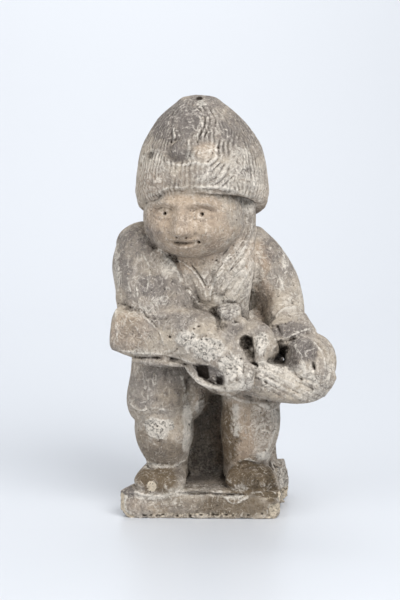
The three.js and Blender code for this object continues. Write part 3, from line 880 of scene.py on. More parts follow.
LINES = {
    "cap": [
        (-1.0, 1.1, [(173, 112), (171, 126), (171, 142)]),
        (0.8, 1.3, [(175, 138), (174, 126), (181, 114), (191, 111), (200, 118), (202, 128), (196, 137)]),
        (-1.4, 1.0, [(197, 106), (205, 116), (204, 126), (200, 134), (198, 142)]),
        (-1.2, 1.0, [(203, 106), (210, 117), (209, 127), (205, 136)]),
        (-1.0, 1.0, [(210, 108), (216, 119), (214, 129)]),
        (1.3, 1.6, [(167, 162), (180, 165), (194, 163), (208, 164), (216, 158)]),
        (-1.2, 1.4, [(146, 203), (156, 199), (168, 193), (190, 191), (215, 191), (232, 194)]),
        (0.9, 1.6, [(150, 196), (168, 188), (190, 187), (215, 187), (234, 190), (250, 197)]),
    ],
    "hair": [
        (-0.8, 1.0, [(243, 206), (242, 222), (236, 238), (226, 252), (214, 262)]),
        (0.7, 1.1, [(246, 204), (246, 222), (240, 239), (230, 254), (220, 264)]),
        (-0.8, 1.0, [(249, 206), (249, 224), (243, 242), (232, 258), (221, 270)]),
        (0.7, 1.1, [(252, 208), (251, 228), (245, 246), (233, 264), (222, 279)]),
        (-0.7, 1.0, [(255, 228), (249, 244), (238, 262), (226, 276), (219, 290)]),
    ],
    "coat": [
        (1.0, 1.1, [(178, 259), (192, 270), (202, 283), (206, 296)]),
        (-1.0, 1.0, [(190, 263), (198, 273), (206, 286)]),
        (-1.1, 1.1, [(222, 263), (213, 275), (208, 287)]),
        (1.0, 1.1, [(226, 266), (217, 277), (211, 290), (210, 300)]),
        (0.8, 1.0, [(240, 262), (228, 274), (219, 290), (216, 302)]),
        (-0.8, 1.0, [(246, 266), (234, 278), (225, 294), (222, 306)]),
        (0.7, 1.2, [(250, 270), (241, 284), (233, 300), (231, 314)]),
        (-0.7, 1.2, [(182, 262), (188, 274), (194, 286), (198, 298)]),
        (-0.8, 1.0, [(232, 268), (223, 282), (216, 296)]),
        (-0.7, 1.0, [(236, 282), (229, 296), (225, 312)]),
    ],
    "left_arm": [
        (-1.4, 2.0, [(276, 312), (284, 305), (293, 302)]),
        (1.1, 1.8, [(275, 316), (284, 309), (296, 307)]),
        (-0.9, 1.6, [(293, 300), (298, 308), (302, 318)]),
        (0.8, 3.0, [(283, 256), (284, 272), (281, 290)]),
        (-1.0, 1.4, [(272, 327), (280, 325), (294, 321), (308, 319)]),
        (-1.3, 1.3, [(275, 344), (288, 341), (300, 336), (312, 333), (319, 337)]),
        (1.0, 1.3, [(275, 340), (288, 337), (300, 332), (312, 329), (320, 333)]),
        (-0.8, 1.2, [(298, 290), (304, 304), (310, 318)]),
        (0.6, 1.2, [(272, 256), (278, 274), (284, 290)]),
        (-0.6, 1.4, [(262, 248), (272, 262), (276, 282)]),
    ],
    "left_hand": [
        (-2.2, 1.4, [(313, 362), (314, 370), (315, 378)]),
        (-1.2, 1.4, [(312, 345), (315, 356), (314, 366)]),
        (1.2, 2.2, [(296, 347), (302, 358), (305, 372)]),
        (-1.2, 1.3, [(318, 343), (326, 353), (329, 366), (327, 381)]),
        (0.9, 1.3, [(314, 343), (322, 353), (325, 366), (323, 379)]),
        (-0.9, 1.1, [(326, 347), (332, 357), (333, 370), (330, 383)]),
        (-0.8, 1.1, [(317, 352), (320, 362), (320, 374)]),
        (-1.4, 1.4, [(292, 371), (300, 378), (310, 381), (320, 386), (328, 389)]),
    ],
    "right_arm": [
        (1.4, 2.6, [(160, 250), (172, 264), (181, 280)]),
        (-1.3, 1.8, [(172, 281), (180, 285), (188, 288)]),
        (1.0, 1.4, [(137, 288), (139, 300), (141, 312)]),
        (-1.0, 1.4, [(133, 290), (135, 302), (137, 311)]),
        (-1.7, 1.6, [(112, 304), (122, 304), (130, 308), (138, 313), (156, 318), (166, 318)]),
        (0.9, 1.6, [(188, 290), (196, 300), (204, 310), (216, 320)]),
        (-0.8, 1.6, [(150, 268), (158, 280), (170, 296), (186, 306)]),
        (0.7, 1.4, [(128, 262), (127, 276), (131, 292)]),
        (-0.8, 1.2, [(122, 262), (121, 278), (124, 296)]),
        (0.7, 1.2, [(144, 256), (150, 270), (148, 286)]),
    ],
    "right_cuff": [
        (1.0, 1.2, [(120, 350), (140, 353), (160, 354), (180, 358), (192, 362)]),
        (-1.2, 1.1, [(122, 356), (140, 358), (160, 358), (178, 362), (190, 366)]),
        (-0.8, 0.9, [(141, 309), (149, 318), (157, 328), (160, 340), (158, 350)]),
        (0.8, 1.0, [(140, 313), (150, 322), (160, 333), (164, 345)]),
        (-0.7, 0.9, [(131, 312), (142, 326), (152, 340), (156, 352)]),
        (-0.7, 1.0, [(120, 318), (130, 330), (142, 342)]),
        (0.8, 1.4, [(116, 306), (116, 322), (118, 340)]),
        (0.6, 1.0, [(126, 316), (138, 330), (148, 346)]),
        (-0.6, 0.9, [(122, 328), (132, 338), (144, 348)]),
    ],
    "right_hand": [
        (1.5, 1.6, [(186, 368), (196, 379), (211, 387), (230, 390), (241, 386), (244, 376)]),
        (1.0, 1.8, [(186, 348), (200, 340), (216, 340), (228, 350), (238, 362)]),
        (-0.8, 1.4, [(228, 370), (229, 378), (228, 385)]),
        (-1.0, 1.2, [(237, 368), (237, 376), (236, 386)]),
        (-1.0, 1.1, [(244, 364), (244, 374), (247, 385)]),
        (-1.4, 1.2, [(256, 368), (255, 376), (251, 384)]),
        (-2.2, 1.1, [(245, 349), (248, 356), (252, 361), (257, 366)]),
        (-1.0, 1.4, [(175, 352), (182, 344), (192, 338), (206, 336)]),
        (-1.2, 1.4, [(190, 316), (198, 312), (207, 314), (214, 322)]),
        (-1.0, 1.4, [(208, 330), (216, 334), (226, 342)]),
        (0.9, 1.2, [(180, 346), (190, 341), (197, 336)]),
        (-1.0, 1.1, [(226, 356), (234, 362), (241, 366)]),
    ],
    "held": [
        (-1.8, 1.4, [(214, 309), (218, 317), (222, 327), (225, 331)]),
        (-1.2, 1.2, [(219, 310), (229, 313), (239, 310)]),
        (-1.4, 1.4, [(222, 320), (232, 322), (244, 320)]),
        (-1.4, 1.3, [(277, 326), (281, 337), (277, 350)]),
        (-1.4, 1.2, [(266, 336), (267, 346), (265, 356)]),
        (-1.2, 1.2, [(251, 336), (252, 346), (253, 356)]),
        (-0.9, 1.1, [(262, 366), (280, 374), (298, 382), (318, 392)]),
        (0.8, 1.1, [(262, 362), (280, 369), (298, 377), (322, 388)]),
        (-1.0, 1.1, [(258, 372), (276, 381), (294, 391), (310, 399)]),
        (0.7, 1.1, [(260, 369), (278, 377), (298, 387), (316, 396)]),
        (-0.9, 1.0, [(256, 378), (272, 386), (288, 395), (300, 402)]),
        (0.6, 1.0, [(256, 375), (274, 383), (290, 392), (306, 401)]),
        (-0.8, 1.0, [(262, 386), (276, 394), (288, 401)]),
        (-0.7, 1.0, [(276, 367), (290, 373), (302, 380)]),
    ],
    "breeches": [
        (0.8, 1.6, [(131, 404), (140, 410), (154, 408), (170, 410), (184, 406), (191, 412)]),
        (-0.8, 1.6, [(130, 412), (140, 417), (156, 414), (172, 416), (190, 418)]),
        (-0.9, 1.8, [(143, 366), (142, 380), (145, 398)]),
        (0.35, 1.8, [(150, 366), (149, 382), (152, 400)]),
        (-0.9, 1.8, [(167, 368), (166, 386), (170, 402)]),
        (-0.8, 1.6, [(186, 380), (189, 392), (188, 406)]),
        (0.8, 1.8, [(180, 372), (184, 388), (183, 404)]),
        (-1.0, 1.6, [(238, 392), (248, 396), (262, 398), (274, 402)]),
        (0.8, 1.8, [(228, 394), (240, 400), (256, 403), (270, 408)]),
        (-1.2, 1.6, [(268, 400), (274, 408), (281, 410)]),
        (-0.8, 1.8, [(226, 398), (226, 412), (229, 424)]),
    ],
    "legs": [
        (1.3, 1.4, [(146, 460), (158, 466), (172, 467), (184, 460)]),
        (-1.0, 1.4, [(145, 464), (158, 470), (173, 471), (187, 464)]),
        (0.9, 1.5, [(240, 461), (248, 459), (258, 462)]),
        (-0.6, 1.6, [(233, 462), (245, 464), (256, 467)]),
        (1.1, 1.3, [(134, 484), (137, 492), (150, 496), (166, 495), (180, 490), (188, 480)]),
        (-0.8, 1.3, [(131, 488), (136, 497), (150, 501), (168, 500), (184, 495)]),
        (-0.7, 1.6, [(222, 478), (231, 489), (246, 496), (262, 498)]),
        (0.5, 2.2, [(225, 475), (235, 486), (250, 492), (262, 493)]),
        (1.3, 3.4, [(236, 406), (236, 420), (237, 434)]),
        (1.5, 1.5, [(276, 424), (273, 434), (268, 447), (262, 458)]),
        (-2.2, 1.5, [(280, 430), (278, 438), (274, 450), (268, 461)]),
        (-0.8, 1.8, [(247, 412), (249, 430), (246, 448)]),
    ],
    "base": [
        (0.9, 1.2, [(180, 491), (196, 489), (214, 488), (220, 491), (232, 503), (243, 500), (250, 496)]),
        (-1.6, 1.2, [(180, 493), (200, 493), (216, 494), (228, 495), (244, 495)]),
        (-1.6, 1.4, [(273, 462), (277, 474), (281, 492)]),
        (1.8, 1.5, [(271, 463), (275, 472), (279, 484), (282, 496)]),
        (1.0, 1.8, [(126, 496), (125, 506), (130, 514)]),
    ],
}

# Where pits lie along the foot of the base, in steps across, and how far down they are
FOOT_PITS = (145, 151, 158, 163, 177, 190, 201, 213, 217, 226, 233, 248, 262)
FOOT_ROW = 515


def foot_pits(swell, strength):
    """The pits at the foot of the base, whose places and half sizes vary as sines along it"""
    return [(x, FOOT_ROW + np.sin(x), 1.0 + swell * np.sin(1.7 * x) ** 2, 0.9 + 0.6 * np.sin(x) ** 2,
             strength) for x in FOOT_PITS]


# Pits, holes and lumps: a place in the frame, two half sizes and a height in millimetres
SPOTS = [
    (151, 155, 2.2, 3, -3), (162, 160, 1.4, 1.6, -2), (173, 151, 2.2, 2.0, 1.6),
    (199, 98.5, 3.0, 1.8, -4), (184, 123, 3.4, 3.2, -2.0), (192, 120, 2.6, 2.6, -1.8),
    (219, 147, 2.2, 1.8, -2.4),
    (221, 153, 3.4, 1.2, -1.6), (248, 170, 3.6, 3.2, -1.2), (256, 158, 1.6, 1.8, -2),
    (180, 193, 4.5, 2, -3), (153, 196, 3.2, 1.8, -2.6), (201, 104, 3, 2, 1.2),
    (194, 152, 9, 9, 2.0), (207, 152, 8, 9, 1.4), (236, 152, 7, 7, 1.0),
    (130, 244, 10, 10, 1.5), (166, 256, 9, 10, 1.6), (154, 300, 12, 8, 1.2), (140, 268, 9, 12, 1.0),
    (170, 337, 1.9, 1.9, -3.5), (199, 327, 2.0, 1.6, -3.5), (194, 329, 1.8, 1.3, -2.5),
    (182, 331, 1.4, 1.2, -2), (186, 338, 8, 7, 1.0), (208, 350, 12, 10, 1.6), (229, 366, 9, 8, 1.8),
    (220, 347, 2.6, 4.0, -2.4), (208, 340, 5, 1.2, -1.6), (207, 363, 3.2, 1.1, -1.8),
    (219, 381, 2.6, 2.2, -3), (232, 377, 5, 6, 1.2), (240, 376, 3.6, 6, 1.2), (250, 372, 3.6, 7, 1.6),
    (241, 359, 1.3, 1.3, -3), (256, 364, 1.6, 1.4, -3.5), (248, 358, 1.3, 1.3, -2.5),
    (262, 344, 2.0, 3.0, -2.4), (256, 334, 3.2, 2.4, -2.0), (303, 350, 8, 9, 1.5), (322, 362, 6, 9, 1.2),
    (316, 393, 1.4, 1.4, -1.6), (279, 402, 3, 1.4, -1.6),
    (160, 437, 24, 20, 1.5), (146, 444, 4, 3, -1.0), (170, 442, 9, 8, -0.7), (201, 401, 5, 9, 1.5),
    (274, 404, 6, 6, 1.5), (238, 420, 7, 16, 1.0), (264, 456, 6, 4, 0.8),
    (251, 209, 10, 7, 5.0), (249, 296, 6, 24, 2.0), (282, 343, 5, 5, 3.0),
    (272, 482, 4, 10, -1.0), (268, 492, 5, 4, -1.2),
] + foot_pits(1.6, -2.2)

# Narrow gaps that are filled before the marks are cut: rounds of smoothing and an outline
SOFT = [
    (16, [(242, 351), (256, 351), (258, 366), (246, 366)]),
    (40, [(244, 268), (286, 262), (284, 330), (244, 330)]),
    (20, [(186, 286), (216, 286), (216, 304), (190, 304)]),
    (10, [(214, 234), (246, 226), (262, 240), (264, 300), (236, 312), (212, 300), (205, 285)]),
    (24, [(172, 250), (190, 256), (212, 285), (208, 298), (182, 288)]),
    (40, [(180, 384), (206, 386), (210, 424), (182, 420)]),
    (12, [(205, 330), (262, 330), (262, 385), (205, 372)]),
    (12, [(176, 88), (216, 88), (216, 100), (176, 100)]),
    (40, [(236, 196), (262, 199), (264, 212), (238, 208)]),
]

# Cut or broken areas of the front: finish and its strength, height, edge and roughness in
# millimetres, then the outline in steps of the frame
AREAS = [
    ("crust", 0.8, -4.5, 3.5, 0.1, [(167, 144), (174, 139), (183, 141), (188, 149), (190, 158),
                                    (183, 163), (172, 162), (166, 154)]),
    # Painted shade: this crust area and the dirt areas below darken the cut recesses at the opening
    # under the right hand and round the held thing
    ("crust", 0.9, -5.0, 1.2, 0.3, [(193, 365), (200, 364), (212, 367), (222, 373), (225, 383),
                                    (214, 385), (205, 380), (198, 375)]),
    ("dirt", 1.0, -5.0, 1.0, 0.3, [(196, 366), (201, 365), (208, 367), (209, 378), (203, 378),
                                   (198, 373)]),
    ("dirt", 0.85, -3.0, 1.0, 0.3, [(217, 377), (222, 377), (223, 384), (218, 384)]),
    ("dirt", 0.8, -9.0, 1.2, 0.4, [(241, 339), (247, 336), (252, 340), (251, 347), (246, 350),
                                   (240, 346)]),
    ("dirt", 0.5, -3.0, 3.0, 0.3, [(275, 350), (282, 345), (290, 347), (294, 353), (292, 360),
                                    (284, 364), (276, 360)]),
    ("dust", 1.1, 0.6, 1.0, 1.1, [(144, 424), (150, 418), (160, 420), (171, 420), (174, 427),
                                  (167, 433), (163, 438), (156, 438), (149, 435)]),
    ("chips", 1.0, -1.2, 0.8, 0.1, [(147, 484), (151, 481), (156, 485), (155, 490), (149, 491)]),
    ("dust", 1.1, 0.6, 1.2, 1.1, [(194, 343), (204, 338), (216, 340), (223, 347), (222, 354),
                                  (212, 360), (200, 358), (194, 351)]),
    ("dust", 0.9, 0.4, 1.2, 0.9, [(219, 359), (229, 357), (238, 364), (238, 371), (226, 373),
                                  (218, 367)]),
    ("dust", 0.9, 0.4, 1.2, 0.9, [(177, 335), (184, 331), (194, 334), (193, 342), (183, 345),
                                  (176, 341)]),
    ("dust", 0.9, 0.2, 1.0, 0.8, [(257, 334), (265, 333), (268, 341), (265, 352), (259, 354),
                                  (255, 345)]),
    ("chips", 1.5, -3.0, 1.2, 0.6, [(270, 506), (279, 503), (286, 509), (284, 523), (272, 523),
                                    (269, 515)]),
    ("chips", 0.95, -1.5, 1.0, 0.5, [(116, 492), (124, 494), (124, 507), (129, 514), (138, 518),
                                    (138, 524), (112, 524)]),
    ("chips", 1.05, -1.5, 1.0, 0.6, [(279, 490), (288, 487), (292, 498), (284, 503), (278, 498)]),
    ("damp", 1.6, -1.2, 2.0, 0.4, [(257, 470), (269, 467), (275, 480), (279, 496), (263, 497),
                                    (252, 490)]),
    ("crust", 1.0, -1.0, 1.0, 0.3, [(218, 304), (228, 302), (239, 304), (240, 309), (229, 312),
                                    (219, 310)]),
    ("dust", 0.55, 0.0, 2.0, 1.1, [(277, 463), (286, 462), (290, 484), (287, 500), (281, 493),
                                   (278, 478)]),
    ("dust", 0.8, 0.0, 1.0, 0.4, [(196, 102), (201, 100), (206, 104), (203, 108), (198, 107)]),
]

# Recesses that are lit, where the painted shade of the recesses is left out: a place in the frame, two
# half sizes and a strength
LIT_RECESSES = [
    (264, 272, 13, 18, 0.65), (250, 205, 18, 9, 1.0), (251, 295, 9, 30, 1.2), (180, 373, 10, 8, 0.6),
    (282, 342, 7, 5, 1.0), (188, 428, 7, 22, 1.0), (199, 406, 6, 10, 1.0), (214, 301, 12, 6, 1.0),
    (311, 380, 8, 7, 1.0),
]

# Patches of the front where a finish lies: a place in the frame, two half sizes and a strength
FINISH = {
    # The crust patch below the chin, at (208, 276), is painted shade
    "crust": [
        (168, 116, 34, 26, 1.0), (198, 104, 26, 14, 0.7), (150, 140, 8, 10, 0.3),
        (240, 126, 20, 26, 0.8), (226, 108, 18, 12, 0.6), (252, 148, 10, 14, 0.5),
        (200, 130, 18, 12, 0.5), (176, 150, 16, 14, 0.7), (224, 150, 8, 8, 0.4), (248, 172, 7, 7, 0.6),
        (236, 188, 12, 7, 0.35), (138, 240, 22, 16, 0.75), (122, 266, 12, 26, 0.6),
        (148, 268, 14, 14, 0.35), (158, 286, 26, 13, 0.75), (176, 298, 28, 12, 0.6),
        (172, 322, 28, 10, 0.55), (128, 296, 8, 14, 0.5), (276, 248, 16, 18, 0.6),
        (287, 266, 10, 14, 0.5), (292, 330, 20, 8, 1.0), (290, 316, 14, 6, 0.3),
        (302, 350, 15, 13, 0.9), (321, 374, 6, 8, 0.3), (228, 312, 12, 10, 0.9), (236, 328, 12, 9, 0.7),
        (262, 330, 10, 6, 0.4), (294, 364, 9, 10, 0.9), (127, 491, 9, 6, 1.6), (158, 146, 8, 12, 0.6),
        (208, 276, 8, 8, 0.4), (228, 307, 12, 6, 0.6), (198, 141, 8, 6, 0.5), (160, 380, 32, 20, 0.45),
        (146, 400, 16, 12, 0.5), (178, 402, 12, 10, 0.4), (158, 450, 24, 12, 0.25),
        (246, 477, 16, 12, 0.15), (200, 316, 16, 10, 0.5), (128, 494, 10, 8, 0.3),
        (254, 386, 12, 10, 0.5), (284, 470, 7, 16, 0.1), (180, 470, 10, 10, 0.3),
        (146, 330, 14, 14, 0.25), (202, 340, 6, 8, 0.3), (188, 180, 28, 10, 0.42),
        (278, 388, 14, 10, 0.45)],
    # Some dust patches are painted light: the right leg's highlight at (237, 420) and the lightened
    # recesses under the cap's hem and above the stub
    "dust": [
        (240, 178, 24, 24, 0.38), (216, 176, 20, 16, 0.35), (230, 184, 20, 8, 0.3),
        (258, 190, 8, 18, 0.5), (208, 155, 12, 10, 0.5), (240, 158, 12, 12, 0.45),
        (232, 290, 22, 32, 0.45), (250, 262, 16, 18, 0.5), (168, 268, 8, 12, 0.5),
        (186, 338, 10, 8, 0.6), (208, 350, 16, 12, 0.6), (230, 366, 14, 12, 0.7),
        (240, 378, 18, 12, 0.5), (262, 346, 7, 14, 0.8), (268, 366, 14, 8, 0.7),
        (290, 378, 36, 14, 0.5), (152, 170, 16, 24, 0.35), (200, 192, 30, 5, 0.3),
        (310, 392, 24, 10, 0.35), (330, 362, 6, 22, 0.3), (292, 302, 12, 12, 0.35),
        (159, 429, 14, 10, 0.5), (237, 420, 8, 17, 0.3), (264, 428, 15, 28, 0.42),
        (264, 456, 7, 5, 1.0), (180, 492, 14, 5, 0.6), (200, 487, 26, 4, 0.5), (160, 352, 36, 3, 0.4),
        (201, 402, 5, 12, 0.4), (284, 496, 7, 6, 0.8), (152, 466, 16, 3, 0.6), (220, 386, 24, 4, 0.6),
        (150, 497, 22, 3, 0.6), (140, 312, 16, 6, 0.4), (160, 302, 12, 6, 0.3), (236, 497, 14, 3, 0.5),
        (116, 272, 4, 26, 0.5), (250, 206, 12, 7, 0.6), (250, 297, 6, 22, 0.6), (188, 430, 5, 30, 1.1),
        (199, 407, 5, 8, 0.9), (190, 157, 5, 5, 0.6), (256, 272, 8, 12, 0.8), (219, 299, 8, 4, 0.6),
        (275, 416, 5, 9, 0.6), (311, 380, 7, 6, 0.9), (240, 488, 9, 4, 0.6), (286, 258, 4, 14, 0.4),
        (302, 300, 5, 14, 0.5), (136, 180, 3, 24, 0.4), (160, 502, 24, 5, 0.3)],
    "warm": [
        (190, 225, 48, 34, 0.8), (258, 262, 14, 20, 0.9), (186, 262, 16, 12, 0.7),
        (206, 152, 12, 10, 0.8), (150, 184, 18, 18, 0.5), (262, 200, 10, 14, 0.6),
        (234, 436, 24, 36, 1.0), (130, 330, 20, 22, 0.5), (262, 296, 10, 26, 0.6),
        (262, 430, 18, 26, 0.6), (170, 440, 26, 20, 0.2), (202, 400, 8, 14, 0.6),
        (180, 182, 16, 10, 0.25), (146, 505, 24, 10, 0.35)],
    "damp": [
        (246, 478, 26, 20, 1.4), (158, 480, 22, 14, 1.2), (158, 478, 24, 14, 0.8),
        (229, 440, 10, 36, 0.95), (160, 452, 24, 14, 0.6), (240, 506, 50, 12, 0.85),
        (180, 506, 30, 10, 0.45), (272, 484, 5, 18, 0.5), (142, 440, 8, 14, 0.5), (270, 499, 5, 6, 1.3),
        (262, 404, 18, 8, 0.3), (174, 398, 24, 12, 0.4), (190, 490, 26, 6, 0.4),
        (262, 424, 10, 14, 0.25), (128, 322, 12, 20, 0.25), (209, 398, 7, 8, 0.6)],
    "chips": [
        (196, 515, 70, 2.4, 0.45), (268, 498, 10, 3, 0.35), (132, 498, 10, 2, 0.3)],
    # Most dirt patches are painted shade: between the legs, under the chin, in the armpit, between cheek
    # and shoulder, between arm and cuff, under the base's ledge and by the hands; the others darken pits
    # and holes
    "dirt": [
        (151, 155, 3, 4, 0.6), (199, 98.5, 3.4, 2.0, 0.9), (263, 306, 10, 20, 0.4),
        (260, 310, 8, 14, 0.35), (198, 262, 8, 5, 0.4), (206, 480, 20, 9, 0.55),
        (250, 484, 14, 10, 0.3), (218, 318, 3, 14, 0.6), (293, 364, 6, 7, 0.5), (132, 309, 9, 2.6, 0.5),
        (196, 493, 16, 2.2, 0.65), (230, 494.5, 16, 2.2, 0.5), (224, 326, 4, 4, 0.6),
        (207, 430, 17, 48, 0.55), (206, 462, 18, 24, 0.6), (160, 244, 5, 12, 0.4),
        (168, 256, 4, 8, 0.5), (270, 482, 5, 16, 0.35), (214, 278, 3, 10, 0.4)] + foot_pits(1.8, 0.75),
}


# Materials

def masked_mix(tree, below, above, mask, place):
    """Adds a mix of two colours by a mask and returns its output"""
    node = tree.nodes.new("ShaderNodeMix")
    node.data_type = "RGBA"
    node.location = place
    for socket, source in ((node.inputs[6], below), (node.inputs[7], above), (node.inputs[0], mask)):
        if isinstance(source, bpy.types.NodeSocket):
            tree.links.new(source, socket)
        elif isinstance(source, float):
            socket.default_value = source
        else:
            socket.default_value = (*source, 1)
    return node.outputs[2]


def noise(tree, scale, detail, rough, place, vector, distortion=0.0):
    """Adds a noise pattern on object coordinates and returns its value"""
    node = tree.nodes.new("ShaderNodeTexNoise")
    node.location = place
    node.inputs["Scale"].default_value = scale
    node.inputs["Detail"].default_value = detail
    node.inputs["Roughness"].default_value = rough
    node.inputs["Distortion"].default_value = distortion
    tree.links.new(vector, node.inputs["Vector"])
    return node.outputs["Fac"]


def map_range(tree, value, low, high, place, to_low=0.0, to_high=1.0):
    """Adds a clamped linear step of a value"""
    node = tree.nodes.new("ShaderNodeMapRange")
    node.location = place
    tree.links.new(value, node.inputs["Value"])
    node.inputs["From Min"].default_value = low
    node.inputs["From Max"].default_value = high
    node.inputs["To Min"].default_value = to_low
    node.inputs["To Max"].default_value = to_high
    return node.outputs[0]


def math_node(tree, kind, a, b, place, clamp=True):
    """Adds an arithmetic node on two values"""
    node = tree.nodes.new("ShaderNodeMath")
    node.operation = kind
    node.use_clamp = clamp
    node.location = place
    for socket, source in zip(node.inputs, (a, b)):
        if isinstance(source, bpy.types.NodeSocket):
            tree.links.new(source, socket)
        else:
            socket.default_value = source
    return node.outputs[0]


def attribute(tree, name, place):
    """Adds a reader of one of the surface's own values"""
    node = tree.nodes.new("ShaderNodeAttribute")
    node.attribute_name = name
    node.location = place
    return node.outputs["Fac"]


def ragged_group():
    """A node group that turns a smooth value into a mask whose edge a pattern makes ragged"""
    group = bpy.data.node_groups.new("ragged_edge", "ShaderNodeTree")
    for name, value in (("Value", 0.0), ("Pattern", 0.5), ("Raggedness", 1.0), ("Edge", 0.2)):
        socket = group.interface.new_socket(name, in_out="INPUT", socket_type="NodeSocketFloat")
        socket.default_value = value
    group.interface.new_socket("Mask", in_out="OUTPUT", socket_type="NodeSocketFloat")
    start = group.nodes.new("NodeGroupInput")
    start.location = (-800, 0)
    end = group.nodes.new("NodeGroupOutput")
    end.location = (400, 0)
    centred = math_node(group, "SUBTRACT", start.outputs["Pattern"], 0.5, (-600, -100), False)
    scaled = math_node(group, "MULTIPLY", centred, start.outputs["Raggedness"], (-400, -100), False)
    moved = math_node(group, "ADD", start.outputs["Value"], scaled, (-200, 0), False)
    shifted = math_node(group, "SUBTRACT", moved, 0.5, (-50, 0), False)
    steep = math_node(group, "DIVIDE", shifted, start.outputs["Edge"], (100, 0), False)
    mask = math_node(group, "ADD", steep, 0.5, (250, 0), True)
    group.links.new(mask, end.inputs["Mask"])
    return group


def ragged(tree, group, name, pattern, raggedness, edge, place):
    """Reads one of the surface's values and gives it a ragged edge"""
    node = tree.nodes.new("ShaderNodeGroup")
    node.node_tree = group
    node.location = place
    tree.links.new(attribute(tree, name, (place[0] - 220, place[1])), node.inputs["Value"])
    tree.links.new(pattern, node.inputs["Pattern"])
    node.inputs["Raggedness"].default_value = raggedness
    node.inputs["Edge"].default_value = edge
    return node.outputs["Mask"]


def strand_relief(tree, place):
    """Height of the hair strands, mixed from the three phases that the surface carries"""
    def wave(name, share, y):
        """The height over one strand, from 0 in the groove to 1 on its back"""
        phase = math_node(tree, "MULTIPLY", attribute(tree, name, (place[0], place[1] + y)), share / 2,
                          (place[0] + 200, place[1] + y), False)
        sine = math_node(tree, "SINE", phase, 0.0, (place[0] + 350, place[1] + y), False)
        size = math_node(tree, "ABSOLUTE", sine, 0.0, (place[0] + 500, place[1] + y), False)
        return math_node(tree, "POWER", size, 0.7, (place[0] + 650, place[1] + y))

    def mix(below, above, name, x):
        """Goes from one height to the other by a share that the surface carries"""
        away = math_node(tree, "SUBTRACT", above, below, (place[0] + x, place[1]), False)
        part = math_node(tree, "MULTIPLY", away, attribute(tree, name, (place[0] + x, place[1] - 200)),
                         (place[0] + x + 100, place[1]), False)
        return math_node(tree, "ADD", below, part, (place[0] + x + 200, place[1]), False)

    height = mix(wave("round", 0.5, 0), wave("round", 1.0, -200), "fine_share", 900)
    height = mix(height, wave("whorl", 1.0, -400), "whorl_share", 1200)
    return mix(height, wave("loops", 1.0, -600), "loops_share", 1500)


def scratch_lines(tree, at):
    """Two sets of fine lines: where a noise drawn out upwards crosses its middle value"""
    lines = []
    for turn, scale, place in ((0.6, 60, (-1800, -300)), (-0.8, 90, (-1800, -600))):
        stretch = tree.nodes.new("ShaderNodeMapping")
        stretch.location = place
        tree.links.new(at, stretch.inputs["Vector"])
        stretch.inputs["Location"].default_value = (turn, turn, turn)
        stretch.inputs["Rotation"].default_value = (0.0, turn, 0.0)
        stretch.inputs["Scale"].default_value = (1.0, 1.0, 0.25)
        x, y = place
        drawn = noise(tree, scale, 2, 0.55, (x + 200, y), stretch.outputs["Vector"])
        off = math_node(tree, "SUBTRACT", drawn, 0.5, (x + 350, y), False)
        away = math_node(tree, "ABSOLUTE", off, 0.0, (x + 500, y), False)
        lines.append(map_range(tree, away, 0.020, 0.006, (x + 650, y)))
    return lines


def hair_masks(tree):
    """The grooves between the strands of hair, for sunk relief and painted shade, and the crests of the
    strands, for painted highlights
    """
    strand = strand_relief(tree, (-3400, 1600))
    strength = attribute(tree, "strength", (-1700, 1500))
    groove = math_node(tree, "MULTIPLY", map_range(tree, strand, 0.75, 0.15, (-1700, 1700)), strength,
                       (-1500, 1600))
    crest = math_node(tree, "MULTIPLY", map_range(tree, strand, 0.80, 0.98, (-1700, 1900)), strength,
                      (-1500, 1800))
    return groove, crest


def uneven_shade(tree, swirl, mottle, speck, blotch):
    """How much lighter or darker the stone is from place to place.

    It is a mean of three patterns, stronger in the grey stone than in the beige blotches.
    """
    mean = math_node(tree, "ADD", math_node(tree, "MULTIPLY", swirl, 0.55, (0, 600), False),
                     math_node(tree, "MULTIPLY", mottle, 0.25, (0, 500), False), (150, 550), False)
    mean = math_node(tree, "ADD", mean, math_node(tree, "MULTIPLY", speck, 0.20, (150, 450), False),
                     (250, 550), False)
    busy = map_range(tree, blotch, 0.35, 0.65, (400, 700), 1.0, 0.35)
    off = math_node(tree, "SUBTRACT", mean, 0.5, (300, 650), False)
    shade = math_node(tree, "ADD", math_node(tree, "MULTIPLY", off, busy, (400, 650), False), 0.5,
                      (450, 600), False)
    return map_range(tree, shade, 0.38, 0.62, (500, 550), 0.68, 1.5)


def stone_relief(tree, speck, mottle, swirl, groove, eaten):
    """The normal of the rough stone: three patterns raised, grooves and eaten pits sunk"""
    height = math_node(tree, "ADD", speck, math_node(tree, "MULTIPLY", mottle, 0.8, (0, -400), False),
                       (150, -300), False)
    height = math_node(tree, "ADD", height, math_node(tree, "MULTIPLY", swirl, 0.9, (0, -600), False),
                       (300, -300), False)
    sunk = math_node(tree, "MULTIPLY", groove, 0.5, (0, -800), False)
    height = math_node(tree, "SUBTRACT", height, sunk, (450, -300), False)
    height = math_node(tree, "SUBTRACT", height, eaten, (500, -300), False)
    relief = tree.nodes.new("ShaderNodeBump")
    relief.location = (600, -300)
    relief.inputs["Strength"].default_value = 0.9
    relief.inputs["Distance"].default_value = 0.0022
    tree.links.new(height, relief.inputs["Height"])
    return relief.outputs["Normal"]


# The finishes that lie over each other on the plain stone, from the lowest, and their strength; the dust
# layer also carries painted highlights
STONE_LAYERS = (("warm", 0.7), ("damp", 0.9), ("crust", 0.85), ("dust", 0.8))


